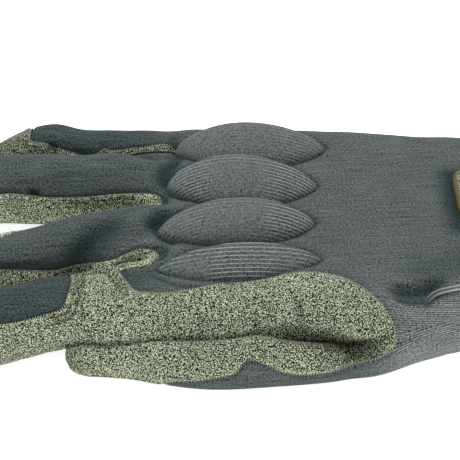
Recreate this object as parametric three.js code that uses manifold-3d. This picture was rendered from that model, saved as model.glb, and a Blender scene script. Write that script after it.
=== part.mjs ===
// A right-hand tactical glove, lying palm down: fingers to -X, wrist to +X, thumb to -Y.
// Every panel is a hollow cloth wall cut from one shell, with a seam gap to its neighbours.
// Sizes are in millimetres, +Z is up, and the floor is at z = 0.

import * as THREE from 'three';
import { mergeVertices } from 'three/addons/utils/BufferGeometryUtils.js';
import Module from 'manifold-3d';

const wasm = await Module();
wasm.setup();

// Driving dimensions
const CLOTH_WALL = 2.0;
const SEAM_GAP = 0.3;
const CUFF_START = 76;
const CUFF_END = 126;
const LITTLE_CAP_SEAM = -64;
const LITTLE_CAP_NEAR = 29.3;
const INDEX_BACK_SEAM = -43.5;
const INDEX_BACK_FAR = -32;
const PAD_BASE = 24.2;
const PAD_END_POWER = 0.7;
const PAD_DOME_POWER = 0.9;
const PAD_FOOT = 6.0;
const THUMB_MOUTH = 20;
const THUMB_PALM_SEAM = -46;
const THUMB_PALM_FRONT = -60;
const THUMB_PALM_TOP = 16;
const BINDING_RADIUS = 1.3;
const TAB_THICKNESS = 3.0;
const TAB = { left: 67, right: 104, far: 10, near: -18, corner: 5 };
const TAB_FLOOR = 20;

// Cutting bodies run this far past the glove, and this far below the floor
const REACH = 200;
const BELOW = -20;

// The middle of the glove's box in the working frame of the tables below
const BOX_CENTRE_X = 10;
const BOX_CENTRE_Y = -9.05;

// Tubes: x, y and z of the middle of a section, its half width and half height.
const LITTLE_FINGER = [
  { x: -6, y: 34.5, z: 13.5, a: 10.0, b: 10.0 },
  { x: -22, y: 36.4, z: 14.2, a: 10.0, b: 10.0 },
  { x: -35, y: 37.6, z: 14.3, a: 9.8, b: 9.8 },
  { x: -47, y: 37.8, z: 14.3, a: 9.5, b: 9.5 },
  { x: -57, y: 38.8, z: 16.0, a: 9.5, b: 9.5 },
  { x: -64, y: 39.0, z: 15.1, a: 9.2, b: 9.2 },
  { x: -72, y: 38.4, z: 11.6, a: 8.8, b: 8.6 },
  { x: -79, y: 38.0, z: 9.5, a: 7.4, b: 7.0 },
  { x: -83, y: 37.8, z: 8.8, a: 4.8, b: 4.4 },
  { x: -84.3, y: 37.7, z: 8.9, a: 2.0, b: 1.8 },
];
const RING_FINGER = [
  { x: -6, y: 11.0, z: 13.6, a: 10.4, b: 10.4 },
  { x: -24, y: 14.6, z: 16.0, a: 10.4, b: 10.4 },
  { x: -34, y: 17.0, z: 17.3, a: 10.3, b: 10.3 },
  { x: -46, y: 17.4, z: 16.6, a: 10.3, b: 10.3 },
  { x: -58, y: 18.2, z: 16.1, a: 10.3, b: 10.3 },
  { x: -71, y: 18.8, z: 15.9, a: 10.2, b: 10.2 },
  { x: -84, y: 19.0, z: 13.5, a: 9.6, b: 9.6 },
  { x: -92, y: 19.0, z: 11.6, a: 8.0, b: 7.8 },
  { x: -96.5, y: 19.0, z: 10.4, a: 5.2, b: 5.0 },
  { x: -98, y: 19.0, z: 10.0, a: 2.2, b: 2.0 },
];
const MIDDLE_FINGER = [
  { x: -6, y: -11.0, z: 13.8, a: 10.6, b: 10.6 },
  { x: -24, y: -11.4, z: 16.6, a: 10.5, b: 10.5 },
  { x: -40, y: -12.3, z: 15.5, a: 10.5, b: 10.5 },
  { x: -51, y: -14.6, z: 14.0, a: 10.5, b: 10.5 },
  { x: -58, y: -16.8, z: 12.8, a: 10.5, b: 10.5 },
  { x: -69, y: -18.5, z: 11.2, a: 10.6, b: 10.6 },
  { x: -82, y: -20.5, z: 10.8, a: 10.3, b: 10.3 },
  { x: -94, y: -22.0, z: 10.0, a: 9.3, b: 9.0 },
  { x: -101, y: -22.6, z: 9.2, a: 7.0, b: 6.6 },
  { x: -105, y: -23.0, z: 8.6, a: 4.0, b: 3.8 },
  { x: -106, y: -23.0, z: 8.4, a: 1.9, b: 1.8 },
];
const INDEX_FINGER = [
  { x: -6, y: -33.0, z: 13.0, a: 10.6, b: 10.6 },
  { x: -30, y: -37.0, z: 13.2, a: 10.4, b: 10.2 },
  { x: -40, y: -40.5, z: 13.6, a: 10.2, b: 10.2 },
  { x: -48, y: -43.0, z: 13.4, a: 10.0, b: 10.0 },
  { x: -58, y: -45.3, z: 12.2, a: 10.5, b: 10.5 },
  { x: -69, y: -47.3, z: 11.2, a: 10.8, b: 10.8 },
  { x: -80, y: -49.0, z: 10.6, a: 10.3, b: 10.3 },
  { x: -88, y: -50.3, z: 9.8, a: 8.8, b: 8.6 },
  { x: -93, y: -51.0, z: 9.0, a: 6.0, b: 5.8 },
  { x: -95.5, y: -51.3, z: 8.5, a: 2.5, b: 2.4 },
];
const THUMB = [
  { x: 62, y: -42.5, z: 10.0, a: 8.0, b: 9.0 },
  { x: 52, y: -45.0, z: 9.8, a: 10.4, b: 9.8 },
  { x: 42, y: -49.2, z: 9.4, a: 11.0, b: 9.6 },
  { x: 31, y: -51.3, z: 8.9, a: 11.2, b: 9.1 },
  { x: 14, y: -54.3, z: 7.9, a: 11.2, b: 8.1 },
  { x: -8, y: -55.8, z: 6.9, a: 10.6, b: 7.1 },
  { x: -20, y: -54.2, z: 6.4, a: 9.7, b: 6.6 },
  { x: -28, y: -52.4, z: 5.9, a: 9.0, b: 6.1 },
  { x: -36, y: -51.2, z: 5.4, a: 8.4, b: 5.6 },
  { x: -42, y: -50.4, z: 5.2, a: 7.6, b: 5.2 },
  { x: -45, y: -50.2, z: 5.0, a: 6.0, b: 4.2 },
  { x: -46.4, y: -50.2, z: 4.9, a: 3.2, b: 2.4 },
];
// The full side of the hand over the thumb, and the lip of its web
const SADDLE_ROLL = [
  { x: 54, y: -38.0, z: 13.0, a: 7.0, b: 8.0 },
  { x: 44, y: -45.0, z: 14.0, a: 10.5, b: 9.8 },
  { x: 35, y: -46.5, z: 15.2, a: 12.0, b: 9.0 },
  { x: 27, y: -44.5, z: 15.6, a: 11.4, b: 9.0 },
  { x: 17, y: -43.0, z: 15.0, a: 10.4, b: 10.0 },
  { x: 0, y: -45.5, z: 14.2, a: 10.0, b: 10.0 },
  { x: -20, y: -46.0, z: 13.8, a: 9.8, b: 9.8 },
  { x: -36, y: -45.3, z: 13.2, a: 9.6, b: 9.8 },
  { x: -48, y: -43.2, z: 13.4, a: 8.6, b: 8.6 },
];
// Hand and wrist: far and near edge, underside and top of each section
const HAND = [
  { x: 128, far: 43.0, near: -49.0, low: 0, top: 28.0 },
  { x: 106, far: 41.0, near: -47.0, low: 0, top: 26.5 },
  { x: 86, far: 40.2, near: -47.0, low: 0, top: 25.5 },
  { x: 66, far: 41.8, near: -50.0, low: 0, top: 25.6 },
  { x: 56, far: 43.6, near: -51.0, low: 0, top: 25.2 },
  { x: 40, far: 46.3, near: -50.0, low: 0, top: 24.6 },
  { x: 12, far: 47.4, near: -50.0, low: 0, top: 24.4 },
  { x: -12, far: 47.2, near: -50.0, low: 0, top: 24.4 },
  { x: -20, far: 45.0, near: -47.0, low: 2.0, top: 23.4 },
  { x: -24, far: 41.5, near: -43.5, low: 6.5, top: 19.4 },
];

// Knuckle pads, lenses that meet side by side: the place of the highest point, the length of
// the lens before and behind it, its half widths away from the thumb and towards it, the rise
// of its dome, the power that rounds it across (lower is fuller), and how far its middle line
// drifts sideways for each millimetre of length
const KNUCKLE_PADS = [
  {
    knuckle: 'little', x: 4.6, y: 28.9, front: 22, back: 25.6,
    far: 10.6, near: 13, rise: 7.4, crown: 0.55, drift: 0,
  },
  {
    knuckle: 'ring', x: 2, y: 7.6, front: 21.5, back: 24.7,
    far: 13, near: 13, rise: 7.5, crown: 0.55, drift: -0.03,
  },
  {
    knuckle: 'middle', x: 2, y: -15.6, front: 23.4, back: 23.4,
    far: 12.5, near: 9.6, rise: 6.8, crown: 0.55, drift: 0.07,
  },
  {
    knuckle: 'index', x: 2.8, y: -34, front: 23.2, back: 23.2,
    far: 9.2, near: 8, rise: 4.6, crown: 0.75, drift: 0.1,
  },
];

// Fourchettes: sections of the strip between two fingers, from the crotch outwards.
// far and near bound the strip, farTop and nearTop are its seams on the two finger walls.
const FOURCHETTE_LITTLE_RING = [
  { x: -19.5, far: 28.2, near: 26.4, farTop: 30, nearTop: 30 },
  { x: -24, far: 31.0, near: 23.5, farTop: 22.8, nearTop: 22 },
  { x: -35, far: 37.6, near: 17.0, farTop: 21.6, nearTop: 21 },
  { x: -45, far: 37.7, near: 17.4, farTop: 20.6, nearTop: 20 },
  { x: -49, far: 38.0, near: 17.6, farTop: 21.8, nearTop: 20 },
  { x: -53, far: 38.4, near: 17.9, farTop: 23.2, nearTop: 20 },
  { x: -57, far: 38.8, near: 18.2, farTop: 24.8, nearTop: 20 },
  { x: -64, far: 39.0, near: 18.6, farTop: 24.4, nearTop: 20 },
  { x: -100, far: 37.7, near: 19.0, farTop: 14, nearTop: 14 },
];
const FOURCHETTE_RING_MIDDLE = [
  { x: -20.5, far: 4.2, near: 2.2, farTop: 27, nearTop: 27 },
  { x: -23, far: 7.6, near: -2.5, farTop: 22.4, nearTop: 22 },
  { x: -26, far: 14.8, near: -11.4, farTop: 21.8, nearTop: 22 },
  { x: -34, far: 17.0, near: -11.9, farTop: 20.6, nearTop: 21 },
  { x: -46, far: 17.4, near: -13.2, farTop: 19.4, nearTop: 19.6 },
  { x: -58, far: 18.2, near: -16.8, farTop: 19.2, nearTop: 18.5 },
  { x: -69, far: 18.8, near: -18.5, farTop: 19.2, nearTop: 21.2 },
  { x: -76, far: 18.9, near: -19.5, farTop: 18, nearTop: 18 },
  { x: -102, far: 19.0, near: -22.6, farTop: 13, nearTop: 13 },
];
const FOURCHETTE_MIDDLE_INDEX = [
  { x: -20.5, far: -22.6, near: -24.6, farTop: 27, nearTop: 27 },
  { x: -23, far: -19.6, near: -28.0, farTop: 21.4, nearTop: 21 },
  { x: -26, far: -11.4, near: -36.3, farTop: 20, nearTop: 19.4 },
  { x: -31, far: -11.7, near: -37.3, farTop: 18.3, nearTop: 19.6 },
  { x: -36, far: -12.0, near: -39.0, farTop: 16.9, nearTop: 25 },
  { x: -44, far: -13.0, near: -41.8, farTop: 14.2, nearTop: 25 },
  { x: -46, far: -13.4, near: -42.5, farTop: 13.8, nearTop: 18.6 },
  { x: -58, far: -16.8, near: -45.3, farTop: 16, nearTop: 17 },
  { x: -69, far: -18.5, near: -47.3, farTop: 17, nearTop: 16 },
  { x: -102, far: -22.6, near: -51.3, farTop: 13, nearTop: 13 },
];

// The thumb saddle's outline, as [x, rise] on a plane that leans back by this angle.
// In order: the index finger's seam, round the web patch, the top of the thumb's web
// to the wrist, back along the thumb's crease, and round below the fingertip.
const SADDLE_PLANE_RISE = THREE.MathUtils.degToRad(34);
const SADDLE_NEAR_DEPTH = -41;
const SADDLE_FLOOR_SEAM = 1.6;
const SADDLE_OUTLINE = [
  [-110, -22.0], [-66.9, -16.4], [-58.8, -15.2], [-51.5, -13.2], [-46.7, -11.7], [-45.4, -8.6],
  [-44.0, -4.4], [-43.4, 3.0], [-33.5, 3.0], [-31.5, -0.4], [-28.4, -4.3], [-25.6, -6.5],
  [-16.2, -6.8], [-10.6, -5.7], [-1.1, -3.8], [10.3, -2.1], [17.0, -1.3], [25.6, -1.5],
  [32.6, -2.9], [39.3, -7.1], [44.0, -12.4], [46.5, -18.2], [46.0, -21.6], [41.2, -25.5],
  [27.6, -29.4], [16.7, -29.7], [9.0, -26.6], [5.6, -25.5], [3.2, -27.0], [1.1, -29.7],
  [-8.4, -31.6], [-19.5, -32.9], [-30, -42], [-110, -42],
];

// Fronts of the fingers: the underside of each tube, below this share of its half height,
// in strips this wide. Behind the crotches one sole runs under the whole hand.
const FRONT_SHARE = 0.72;
const FRONT_HALF_WIDTH = 13;
const FRONT_END = 10;
const FRONT_PAST_TIP = 5;
const SOLE_FRONT = -22;
const PALM_SEAM_HEIGHT = 4.5;

// Corners of a tube's section, and points on its flat top and underside
const CORNER_STEPS = 3;
const HAND_FLAT_STEPS = 4;
const HAND_CROWN = 0.5;
const SECTION_ROUNDNESS = 0.96;

// Geometry helpers

function solidFrom(geometry) {
  const bare = geometry.clone();
  bare.deleteAttribute('normal');
  bare.deleteAttribute('uv');
  const merged = mergeVertices(bare, 1e-4);
  return new wasm.Manifold(new wasm.Mesh({
    numProp: 3,
    vertProperties: new Float32Array(merged.attributes.position.array),
    triVerts: new Uint32Array(merged.index.array),
  }));
}

function boxSolid(lowest, highest) {
  const size = new THREE.Vector3().subVectors(highest, lowest);
  const box = new THREE.BoxGeometry(size.x, size.y, size.z);
  box.translate(lowest.x + size.x / 2, lowest.y + size.y / 2, lowest.z + size.z / 2);
  return solidFrom(box);
}

// A closed body through rings of equal point count, with a fan at each end
function loftSolid(rings) {
  const points = rings.flat();
  const count = rings[0].length;
  const triangles = [];
  for (let ring = 0; ring + 1 < rings.length; ring += 1) {
    for (let i = 0; i < count; i += 1) {
      const next = (i + 1) % count;
      const a = ring * count + i;
      const b = ring * count + next;
      const c = a + count;
      const d = b + count;
      triangles.push(a, c, b, b, c, d);
    }
  }
  const lastStart = (rings.length - 1) * count;
  for (const [ring, start] of [[rings[0], 0], [rings.at(-1), lastStart]]) {
    const centre = new THREE.Vector3();
    ring.forEach((point) => centre.addScaledVector(point, 1 / count));
    points.push(centre);
    for (let i = 0; i < count; i += 1) {
      const next = (i + 1) % count;
      const fan = [points.length - 1, start + i, start + next];
      triangles.push(...(start === 0 ? fan : fan.reverse()));
    }
  }
  const geometry = new THREE.BufferGeometry();
  geometry.setAttribute('position', new THREE.Float32BufferAttribute(points.flatMap((p) => p.toArray()), 3));
  geometry.setIndex(triangles);
  const body = solidFrom(geometry);
  return body.volume() > 0 ? body : solidFrom(flipped(geometry));
}

function flipped(geometry) {
  const turned = geometry.clone();
  const index = Array.from(turned.index.array);
  for (let i = 0; i < index.length; i += 3) {
    [index[i], index[i + 1]] = [index[i + 1], index[i]];
  }
  turned.setIndex(index);
  return turned;
}

// A rounded section in a plane of constant x; flatSteps points crown its top and cross its underside
function sectionRing({ x, y, z, a, b }, flatSteps = 0, crown = 0) {
  const corner = SECTION_ROUNDNESS * Math.min(a, b);
  const ring = [];
  const quarters = [[1, 1], [-1, 1], [-1, -1], [1, -1]];
  quarters.forEach(([sideY, sideZ], quarter) => {
    for (let step = 0; step <= CORNER_STEPS; step += 1) {
      const angle = (quarter + step / CORNER_STEPS) * Math.PI / 2;
      ring.push(new THREE.Vector3(
        x,
        y + sideY * (a - corner) + corner * Math.cos(angle),
        z + sideZ * (b - corner) + corner * Math.sin(angle),
      ));
    }
    for (let step = 1; quarter % 2 === 0 && step <= flatSteps; step += 1) {
      const share = step / (flatSteps + 1);
      const across = sideY * (a - corner) * (1 - 2 * share);
      const lift = quarter === 0 ? crown * (1 - (2 * share - 1) ** 2) : 0;
      ring.push(new THREE.Vector3(x, y + across, z + sideZ * b + lift));
    }
  });
  return ring;
}

// Rows moved inwards along the profile's own normal, for a wall of even thickness
function insetRows(rows, inset) {
  if (inset === 0) {
    return rows;
  }
  const moved = rows.map((row, i) => {
    const before = rows[Math.max(i - 1, 0)];
    const after = rows[Math.min(i + 1, rows.length - 1)];
    const slope = Math.atan2(after.b - before.b, after.x - before.x);
    const steep = Math.atan(Math.tan(slope));
    return {
      x: row.x + inset * Math.sin(steep),
      y: row.y,
      z: row.z,
      a: row.a - inset * Math.cos(steep),
      b: row.b - inset * Math.cos(steep),
    };
  });
  return moved.filter((row) => row.a > 0.8 && row.b > 0.8);
}

function tube(rows, inset) {
  return loftSolid(insetRows(rows, inset).map((row) => sectionRing(row)));
}

function handRows() {
  return HAND.map(({ x, far, near, low, top }) => ({
    x,
    y: (far + near) / 2,
    z: (low + top) / 2,
    a: (far - near) / 2,
    b: (top - low) / 2,
  }));
}

function handBody(inset) {
  const rows = insetRows(handRows(), inset);
  if (inset > 0) {
    rows.unshift({ ...rows[0], x: CUFF_END + 20 });
  }
  return loftSolid(rows.map((row) => sectionRing(row, HAND_FLAT_STEPS, HAND_CROWN)));
}

const HAND_TUBES = [LITTLE_FINGER, RING_FINGER, MIDDLE_FINGER, INDEX_FINGER, SADDLE_ROLL];

function roomAbove(floor, end) {
  return boxSolid(new THREE.Vector3(-REACH, -REACH, floor), new THREE.Vector3(end, REACH, REACH));
}

// The hand with its fingers, without the thumb, moved inwards by an inset
function handAndFingers(inset) {
  return wasm.Manifold.union([...HAND_TUBES.map((rows) => tube(rows, inset)), handBody(inset)]);
}

function gloveBody(inset) {
  return handAndFingers(inset).add(tube(THUMB, inset)).intersect(roomAbove(0, CUFF_END));
}

// The thumb's hollow opens into the hand behind its mouth, and is walled off before it
function gloveHollow() {
  const beforeMouth = boxSolid(
    new THREE.Vector3(-REACH, -REACH, -REACH),
    new THREE.Vector3(THUMB_MOUTH, REACH, REACH),
  );
  const handWall = handAndFingers(0).intersect(beforeMouth);
  const thumbHollow = tube(THUMB, CLOTH_WALL).subtract(handWall);
  return handAndFingers(CLOTH_WALL).add(thumbHollow).intersect(roomAbove(CLOTH_WALL, REACH));
}

// A strip between two fingers, grown all round for the seam gap
function fourchetteRegion(rows, grow) {
  return loftSolid(rows.map((row, i) => {
    const x = row.x + (i === 0 ? grow : 0);
    return [
      new THREE.Vector3(x, row.far + grow, 0),
      new THREE.Vector3(x, row.far + grow, row.farTop + grow),
      new THREE.Vector3(x, row.near - grow, row.nearTop + grow),
      new THREE.Vector3(x, row.near - grow, 0),
    ];
  }));
}

// An outline with every corner moved outwards by grow
function grownOutline(outline, grow) {
  const corners = outline.map(([x, y]) => new THREE.Vector2(x, y));
  const turn = Math.sign(THREE.ShapeUtils.area(corners));
  return corners.map((corner, i) => {
    const before = corners[(i + corners.length - 1) % corners.length];
    const after = corners[(i + 1) % corners.length];
    const along = new THREE.Vector2().subVectors(after, before).normalize();
    return new THREE.Vector2(corner.x + turn * grow * along.y, corner.y - turn * grow * along.x);
  });
}

function saddleRegion(grow) {
  const shape = new THREE.Shape(grownOutline(SADDLE_OUTLINE, grow));
  const prism = new THREE.ExtrudeGeometry(shape, { depth: REACH, bevelEnabled: false });
  prism.translate(0, 0, -SADDLE_NEAR_DEPTH - grow);
  const lean = new THREE.Matrix4().makeBasis(
    new THREE.Vector3(1, 0, 0),
    new THREE.Vector3(0, Math.sin(SADDLE_PLANE_RISE), Math.cos(SADDLE_PLANE_RISE)),
    new THREE.Vector3(0, -Math.cos(SADDLE_PLANE_RISE), Math.sin(SADDLE_PLANE_RISE)),
  );
  prism.applyMatrix4(lean);
  const above = boxSolid(
    new THREE.Vector3(-REACH, -REACH, SADDLE_FLOOR_SEAM - grow),
    new THREE.Vector3(REACH, REACH, REACH),
  );
  return solidFrom(prism).intersect(above);
}

// The undersides of the fingers and the sole of the hand
function palmRegion(grow) {
  const fronts = [LITTLE_FINGER, RING_FINGER, MIDDLE_FINGER, INDEX_FINGER].map((rows) => {
    const tip = rows.at(-1);
    const strip = [{ ...rows[0], x: FRONT_END }, ...rows, { ...tip, x: tip.x - FRONT_PAST_TIP }];
    return loftSolid(strip.map(({ x, y, z, b }) => {
      const seam = z - FRONT_SHARE * Math.max(b, FRONT_PAST_TIP) + grow;
      return [
        new THREE.Vector3(x, y + FRONT_HALF_WIDTH, BELOW),
        new THREE.Vector3(x, y + FRONT_HALF_WIDTH, seam),
        new THREE.Vector3(x, y - FRONT_HALF_WIDTH, seam),
        new THREE.Vector3(x, y - FRONT_HALF_WIDTH, BELOW),
      ];
    }));
  });
  const sole = boxSolid(
    new THREE.Vector3(SOLE_FRONT, -REACH, BELOW),
    new THREE.Vector3(REACH, REACH, PALM_SEAM_HEIGHT + grow),
  );
  return wasm.Manifold.union([...fronts, sole]);
}

function thumbRegion(grow) {
  return boxSolid(
    new THREE.Vector3(THUMB_PALM_FRONT - grow, -REACH, BELOW),
    new THREE.Vector3(REACH, THUMB_PALM_SEAM + grow, THUMB_PALM_TOP + grow),
  );
}

// The heathered cap of the little finger
function littleTipRegion(grow) {
  return boxSolid(
    new THREE.Vector3(-REACH, LITTLE_CAP_NEAR, 0),
    new THREE.Vector3(LITTLE_CAP_SEAM + grow, REACH, REACH),
  );
}

function littleRingRegion(grow) {
  return fourchetteRegion(FOURCHETTE_LITTLE_RING, grow).add(littleTipRegion(grow));
}

function cuffRegion(grow) {
  return boxSolid(
    new THREE.Vector3(CUFF_START - grow, -REACH, -REACH),
    new THREE.Vector3(REACH, REACH, REACH),
  );
}

// The back of the index finger, cut off from the hand by the web patch
function indexBackRegion(grow) {
  return boxSolid(
    new THREE.Vector3(-REACH, -REACH, 0),
    new THREE.Vector3(INDEX_BACK_SEAM + grow, INDEX_BACK_FAR + grow, REACH),
  );
}

// Knuckle pads

// The y of a pad's middle line at x
function padMiddle(pad, x) {
  return pad.y + pad.drift * (x - pad.x);
}

// How wide a pad can be at x before it meets its neighbour
function roomBeside(pad, neighbour, x) {
  return neighbour ? Math.abs(padMiddle(neighbour, x) - padMiddle(pad, x)) / 2 - SEAM_GAP / 2 : Infinity;
}

// A domed lens in plan, trimmed where it meets its neighbours
function padDome(pad, farNeighbour, nearNeighbour) {
  const lengthSteps = 12;
  const acrossSteps = 8;
  const rings = [];
  for (let i = 0; i <= lengthSteps; i += 1) {
    const along = -Math.cos(Math.PI * i / lengthSteps);
    const lens = Math.max(1 - along * along, 0.01);
    const x = pad.x + along * (along < 0 ? pad.front : pad.back);
    const wide = { far: pad.far * lens ** PAD_END_POWER, near: pad.near * lens ** PAD_END_POWER };
    const cut = {
      far: Math.min(wide.far, roomBeside(pad, farNeighbour, x)),
      near: Math.min(wide.near, roomBeside(pad, nearNeighbour, x)),
    };
    const ring = [];
    for (let j = 0; j <= acrossSteps; j += 1) {
      const across = -Math.cos(Math.PI * j / acrossSteps);
      const side = across < 0 ? 'near' : 'far';
      const share = Math.min((across * cut[side] / wide[side]) ** 2, 1);
      const height = pad.rise * lens ** PAD_DOME_POWER * (1 - share) ** pad.crown;
      ring.push(new THREE.Vector3(x, padMiddle(pad, x) + across * cut[side], PAD_BASE + height));
    }
    ring.push(new THREE.Vector3(x, padMiddle(pad, x) + cut.far, PAD_BASE - PAD_FOOT));
    ring.push(new THREE.Vector3(x, padMiddle(pad, x) - cut.near, PAD_BASE - PAD_FOOT));
    rings.push(ring);
  }
  return loftSolid(rings);
}

// Cuff pieces

function cuffBinding() {
  const path = new THREE.CatmullRomCurve3([
    new THREE.Vector3(54, -48.6, 19.6),
    new THREE.Vector3(57, -47.3, 22.1),
    new THREE.Vector3(62, -46.4, 23.6),
    new THREE.Vector3(74, -45.0, 23.8),
    new THREE.Vector3(90, -44.1, 23.6),
    new THREE.Vector3(108, -45.0, 24.4),
    new THREE.Vector3(CUFF_END - 0.5, -46.0, 25.2),
  ]);
  const section = new THREE.Shape();
  section.absarc(0, 0, BINDING_RADIUS, 0, Math.PI * 2, false);
  return solidFrom(new THREE.ExtrudeGeometry(section, {
    steps: 10,
    curveSegments: 4,
    bevelEnabled: false,
    extrudePath: path,
  }));
}

function wristTab() {
  const { left, right, far, near, corner } = TAB;
  const outline = new THREE.Shape();
  outline.moveTo(left + corner, near);
  outline.lineTo(right - corner, near);
  outline.quadraticCurveTo(right, near, right, near + corner);
  outline.lineTo(right, far - corner);
  outline.quadraticCurveTo(right, far, right - corner, far);
  outline.lineTo(left + corner, far);
  outline.quadraticCurveTo(left, far, left, far - corner);
  outline.lineTo(left, near + corner);
  outline.quadraticCurveTo(left, near, left + corner, near);
  const slab = new THREE.ExtrudeGeometry(outline, { depth: REACH, curveSegments: 4, bevelEnabled: false });
  slab.translate(0, 0, TAB_FLOOR);
  return solidFrom(slab);
}

// Assembly

const shell = gloveBody(0).subtract(gloveHollow());
const clearance = gloveBody(-SEAM_GAP);

const pieces = new Map();
let rest = shell;

// Cuts a panel out of what is left of the shell, and opens the seam gap round it
function takePiece(name, region) {
  pieces.set(name, rest.intersect(region(0)));
  rest = rest.subtract(region(SEAM_GAP));
}

takePiece('thumb_saddle', saddleRegion);
takePiece('wrist_cuff', cuffRegion);
takePiece('thumb_panel', thumbRegion);
takePiece('palm_panel', palmRegion);
takePiece('fourchette_little_ring', littleRingRegion);
takePiece('fourchette_ring_middle', (grow) => fourchetteRegion(FOURCHETTE_RING_MIDDLE, grow));
takePiece('fourchette_middle_index', (grow) => fourchetteRegion(FOURCHETTE_MIDDLE_INDEX, grow));
takePiece('index_back', indexBackRegion);
pieces.set('back_panel', rest);

KNUCKLE_PADS.forEach((pad, i) => {
  const dome = padDome(pad, KNUCKLE_PADS[i - 1], KNUCKLE_PADS[i + 1]);
  pieces.set(`knuckle_pad_${pad.knuckle}`, dome.subtract(clearance));
});
pieces.set('cuff_binding', cuffBinding().subtract(clearance));
const tabTop = gloveBody(-SEAM_GAP - TAB_THICKNESS);
pieces.set('wrist_tab', wristTab().intersect(tabTop).subtract(clearance));

// Colours and finishes
const KNIT = { color: 0x525d60, roughness: 0.9, metalness: 0 };
const HEATHER = { color: 0x7d8470, roughness: 0.95, metalness: 0 };
const PIPING = { color: 0x82898a, roughness: 0.8, metalness: 0 };
const FINISHES = {
  back_panel: KNIT,
  index_back: KNIT,
  palm_panel: KNIT,
  thumb_panel: KNIT,
  wrist_cuff: KNIT,
  knuckle_pad_little: KNIT,
  knuckle_pad_ring: KNIT,
  knuckle_pad_middle: KNIT,
  knuckle_pad_index: KNIT,
  fourchette_little_ring: HEATHER,
  fourchette_ring_middle: HEATHER,
  fourchette_middle_index: HEATHER,
  thumb_saddle: HEATHER,
  wrist_tab: HEATHER,
  cuff_binding: PIPING,
};

function meshOf(name, body) {
  const largest = body.decompose().sort((one, other) => other.volume() - one.volume())[0];
  const { vertProperties, triVerts } = largest.getMesh();
  const geometry = new THREE.BufferGeometry();
  geometry.setAttribute('position', new THREE.BufferAttribute(new Float32Array(vertProperties), 3));
  geometry.setIndex(new THREE.BufferAttribute(new Uint32Array(triVerts), 1));
  geometry.computeVertexNormals();
  const mesh = new THREE.Mesh(geometry, new THREE.MeshStandardMaterial(FINISHES[name]));
  mesh.name = name;
  return mesh;
}

const glove = new THREE.Group();
for (const [name, body] of pieces) {
  glove.add(meshOf(name, body));
}
glove.position.set(-BOX_CENTRE_X, -BOX_CENTRE_Y, 0);

export default glove;
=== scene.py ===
"""Looks of a right-hand tactical glove that lies palm down: knit, heathered cloth, pads and seams.

The glove is one smooth shell, found as the zero surface of a distance, and cut into its panels.
All tables are in millimetres, in a frame whose x is 0 at the middle of the picture:
fingers to -x, wrist to +x, thumb to -y, and the surface that it lies on at z = 0.
"""

import math
from collections import namedtuple

import bpy
import numpy as np
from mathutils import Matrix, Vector
from mathutils.kdtree import KDTree


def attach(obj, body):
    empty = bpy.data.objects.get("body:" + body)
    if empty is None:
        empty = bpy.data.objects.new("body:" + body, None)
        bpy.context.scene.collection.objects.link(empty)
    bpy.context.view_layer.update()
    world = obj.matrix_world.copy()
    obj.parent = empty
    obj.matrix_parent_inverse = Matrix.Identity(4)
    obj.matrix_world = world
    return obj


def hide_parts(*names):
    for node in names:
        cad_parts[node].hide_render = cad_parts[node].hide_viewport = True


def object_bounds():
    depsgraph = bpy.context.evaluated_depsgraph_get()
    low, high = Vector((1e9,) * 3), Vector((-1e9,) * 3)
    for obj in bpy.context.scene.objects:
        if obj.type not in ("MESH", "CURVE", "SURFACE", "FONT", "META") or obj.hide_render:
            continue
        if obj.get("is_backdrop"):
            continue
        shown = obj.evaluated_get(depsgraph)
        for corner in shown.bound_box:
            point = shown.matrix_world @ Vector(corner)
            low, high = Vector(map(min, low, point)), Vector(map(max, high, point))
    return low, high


bl_info = {
    "name": "Tactical Glove",
    "version": (1, 0, 0),
    "blender": (4, 5, 0),
    "location": "View3D > Sidebar > Glove",
    "description": "Builds a knit and heathered work glove lying palm down",
    "category": "Add Mesh",
}

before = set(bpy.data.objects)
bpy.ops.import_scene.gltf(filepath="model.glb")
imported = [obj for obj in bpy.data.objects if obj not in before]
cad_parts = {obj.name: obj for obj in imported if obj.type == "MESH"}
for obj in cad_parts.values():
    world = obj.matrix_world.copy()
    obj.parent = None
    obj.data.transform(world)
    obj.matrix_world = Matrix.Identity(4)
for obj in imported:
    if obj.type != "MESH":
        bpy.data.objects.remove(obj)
CAD_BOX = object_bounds()

# Places and units

MM = 0.001
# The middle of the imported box, in the tables' frame
BOX_MIDDLE = np.array([10.0, -9.05, 0.0])

# The picture: a square of this many pixels, seen from this height over the horizon
PICTURE = 460
CAMERA_RISE = math.radians(34)
CAMERA_DISTANCE = 500.0
CAMERA_AIM = np.array([0.0, -8.0, 18.0])
FOCAL_PIXELS = 1675.0
SENSOR = 36.0
CLIP_START = 0.01
FORWARD = np.array([0.0, math.cos(CAMERA_RISE), -math.sin(CAMERA_RISE)])
UPWARD = np.array([0.0, math.sin(CAMERA_RISE), math.cos(CAMERA_RISE)])
CAMERA_PLACE = CAMERA_AIM - CAMERA_DISTANCE * FORWARD

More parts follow.
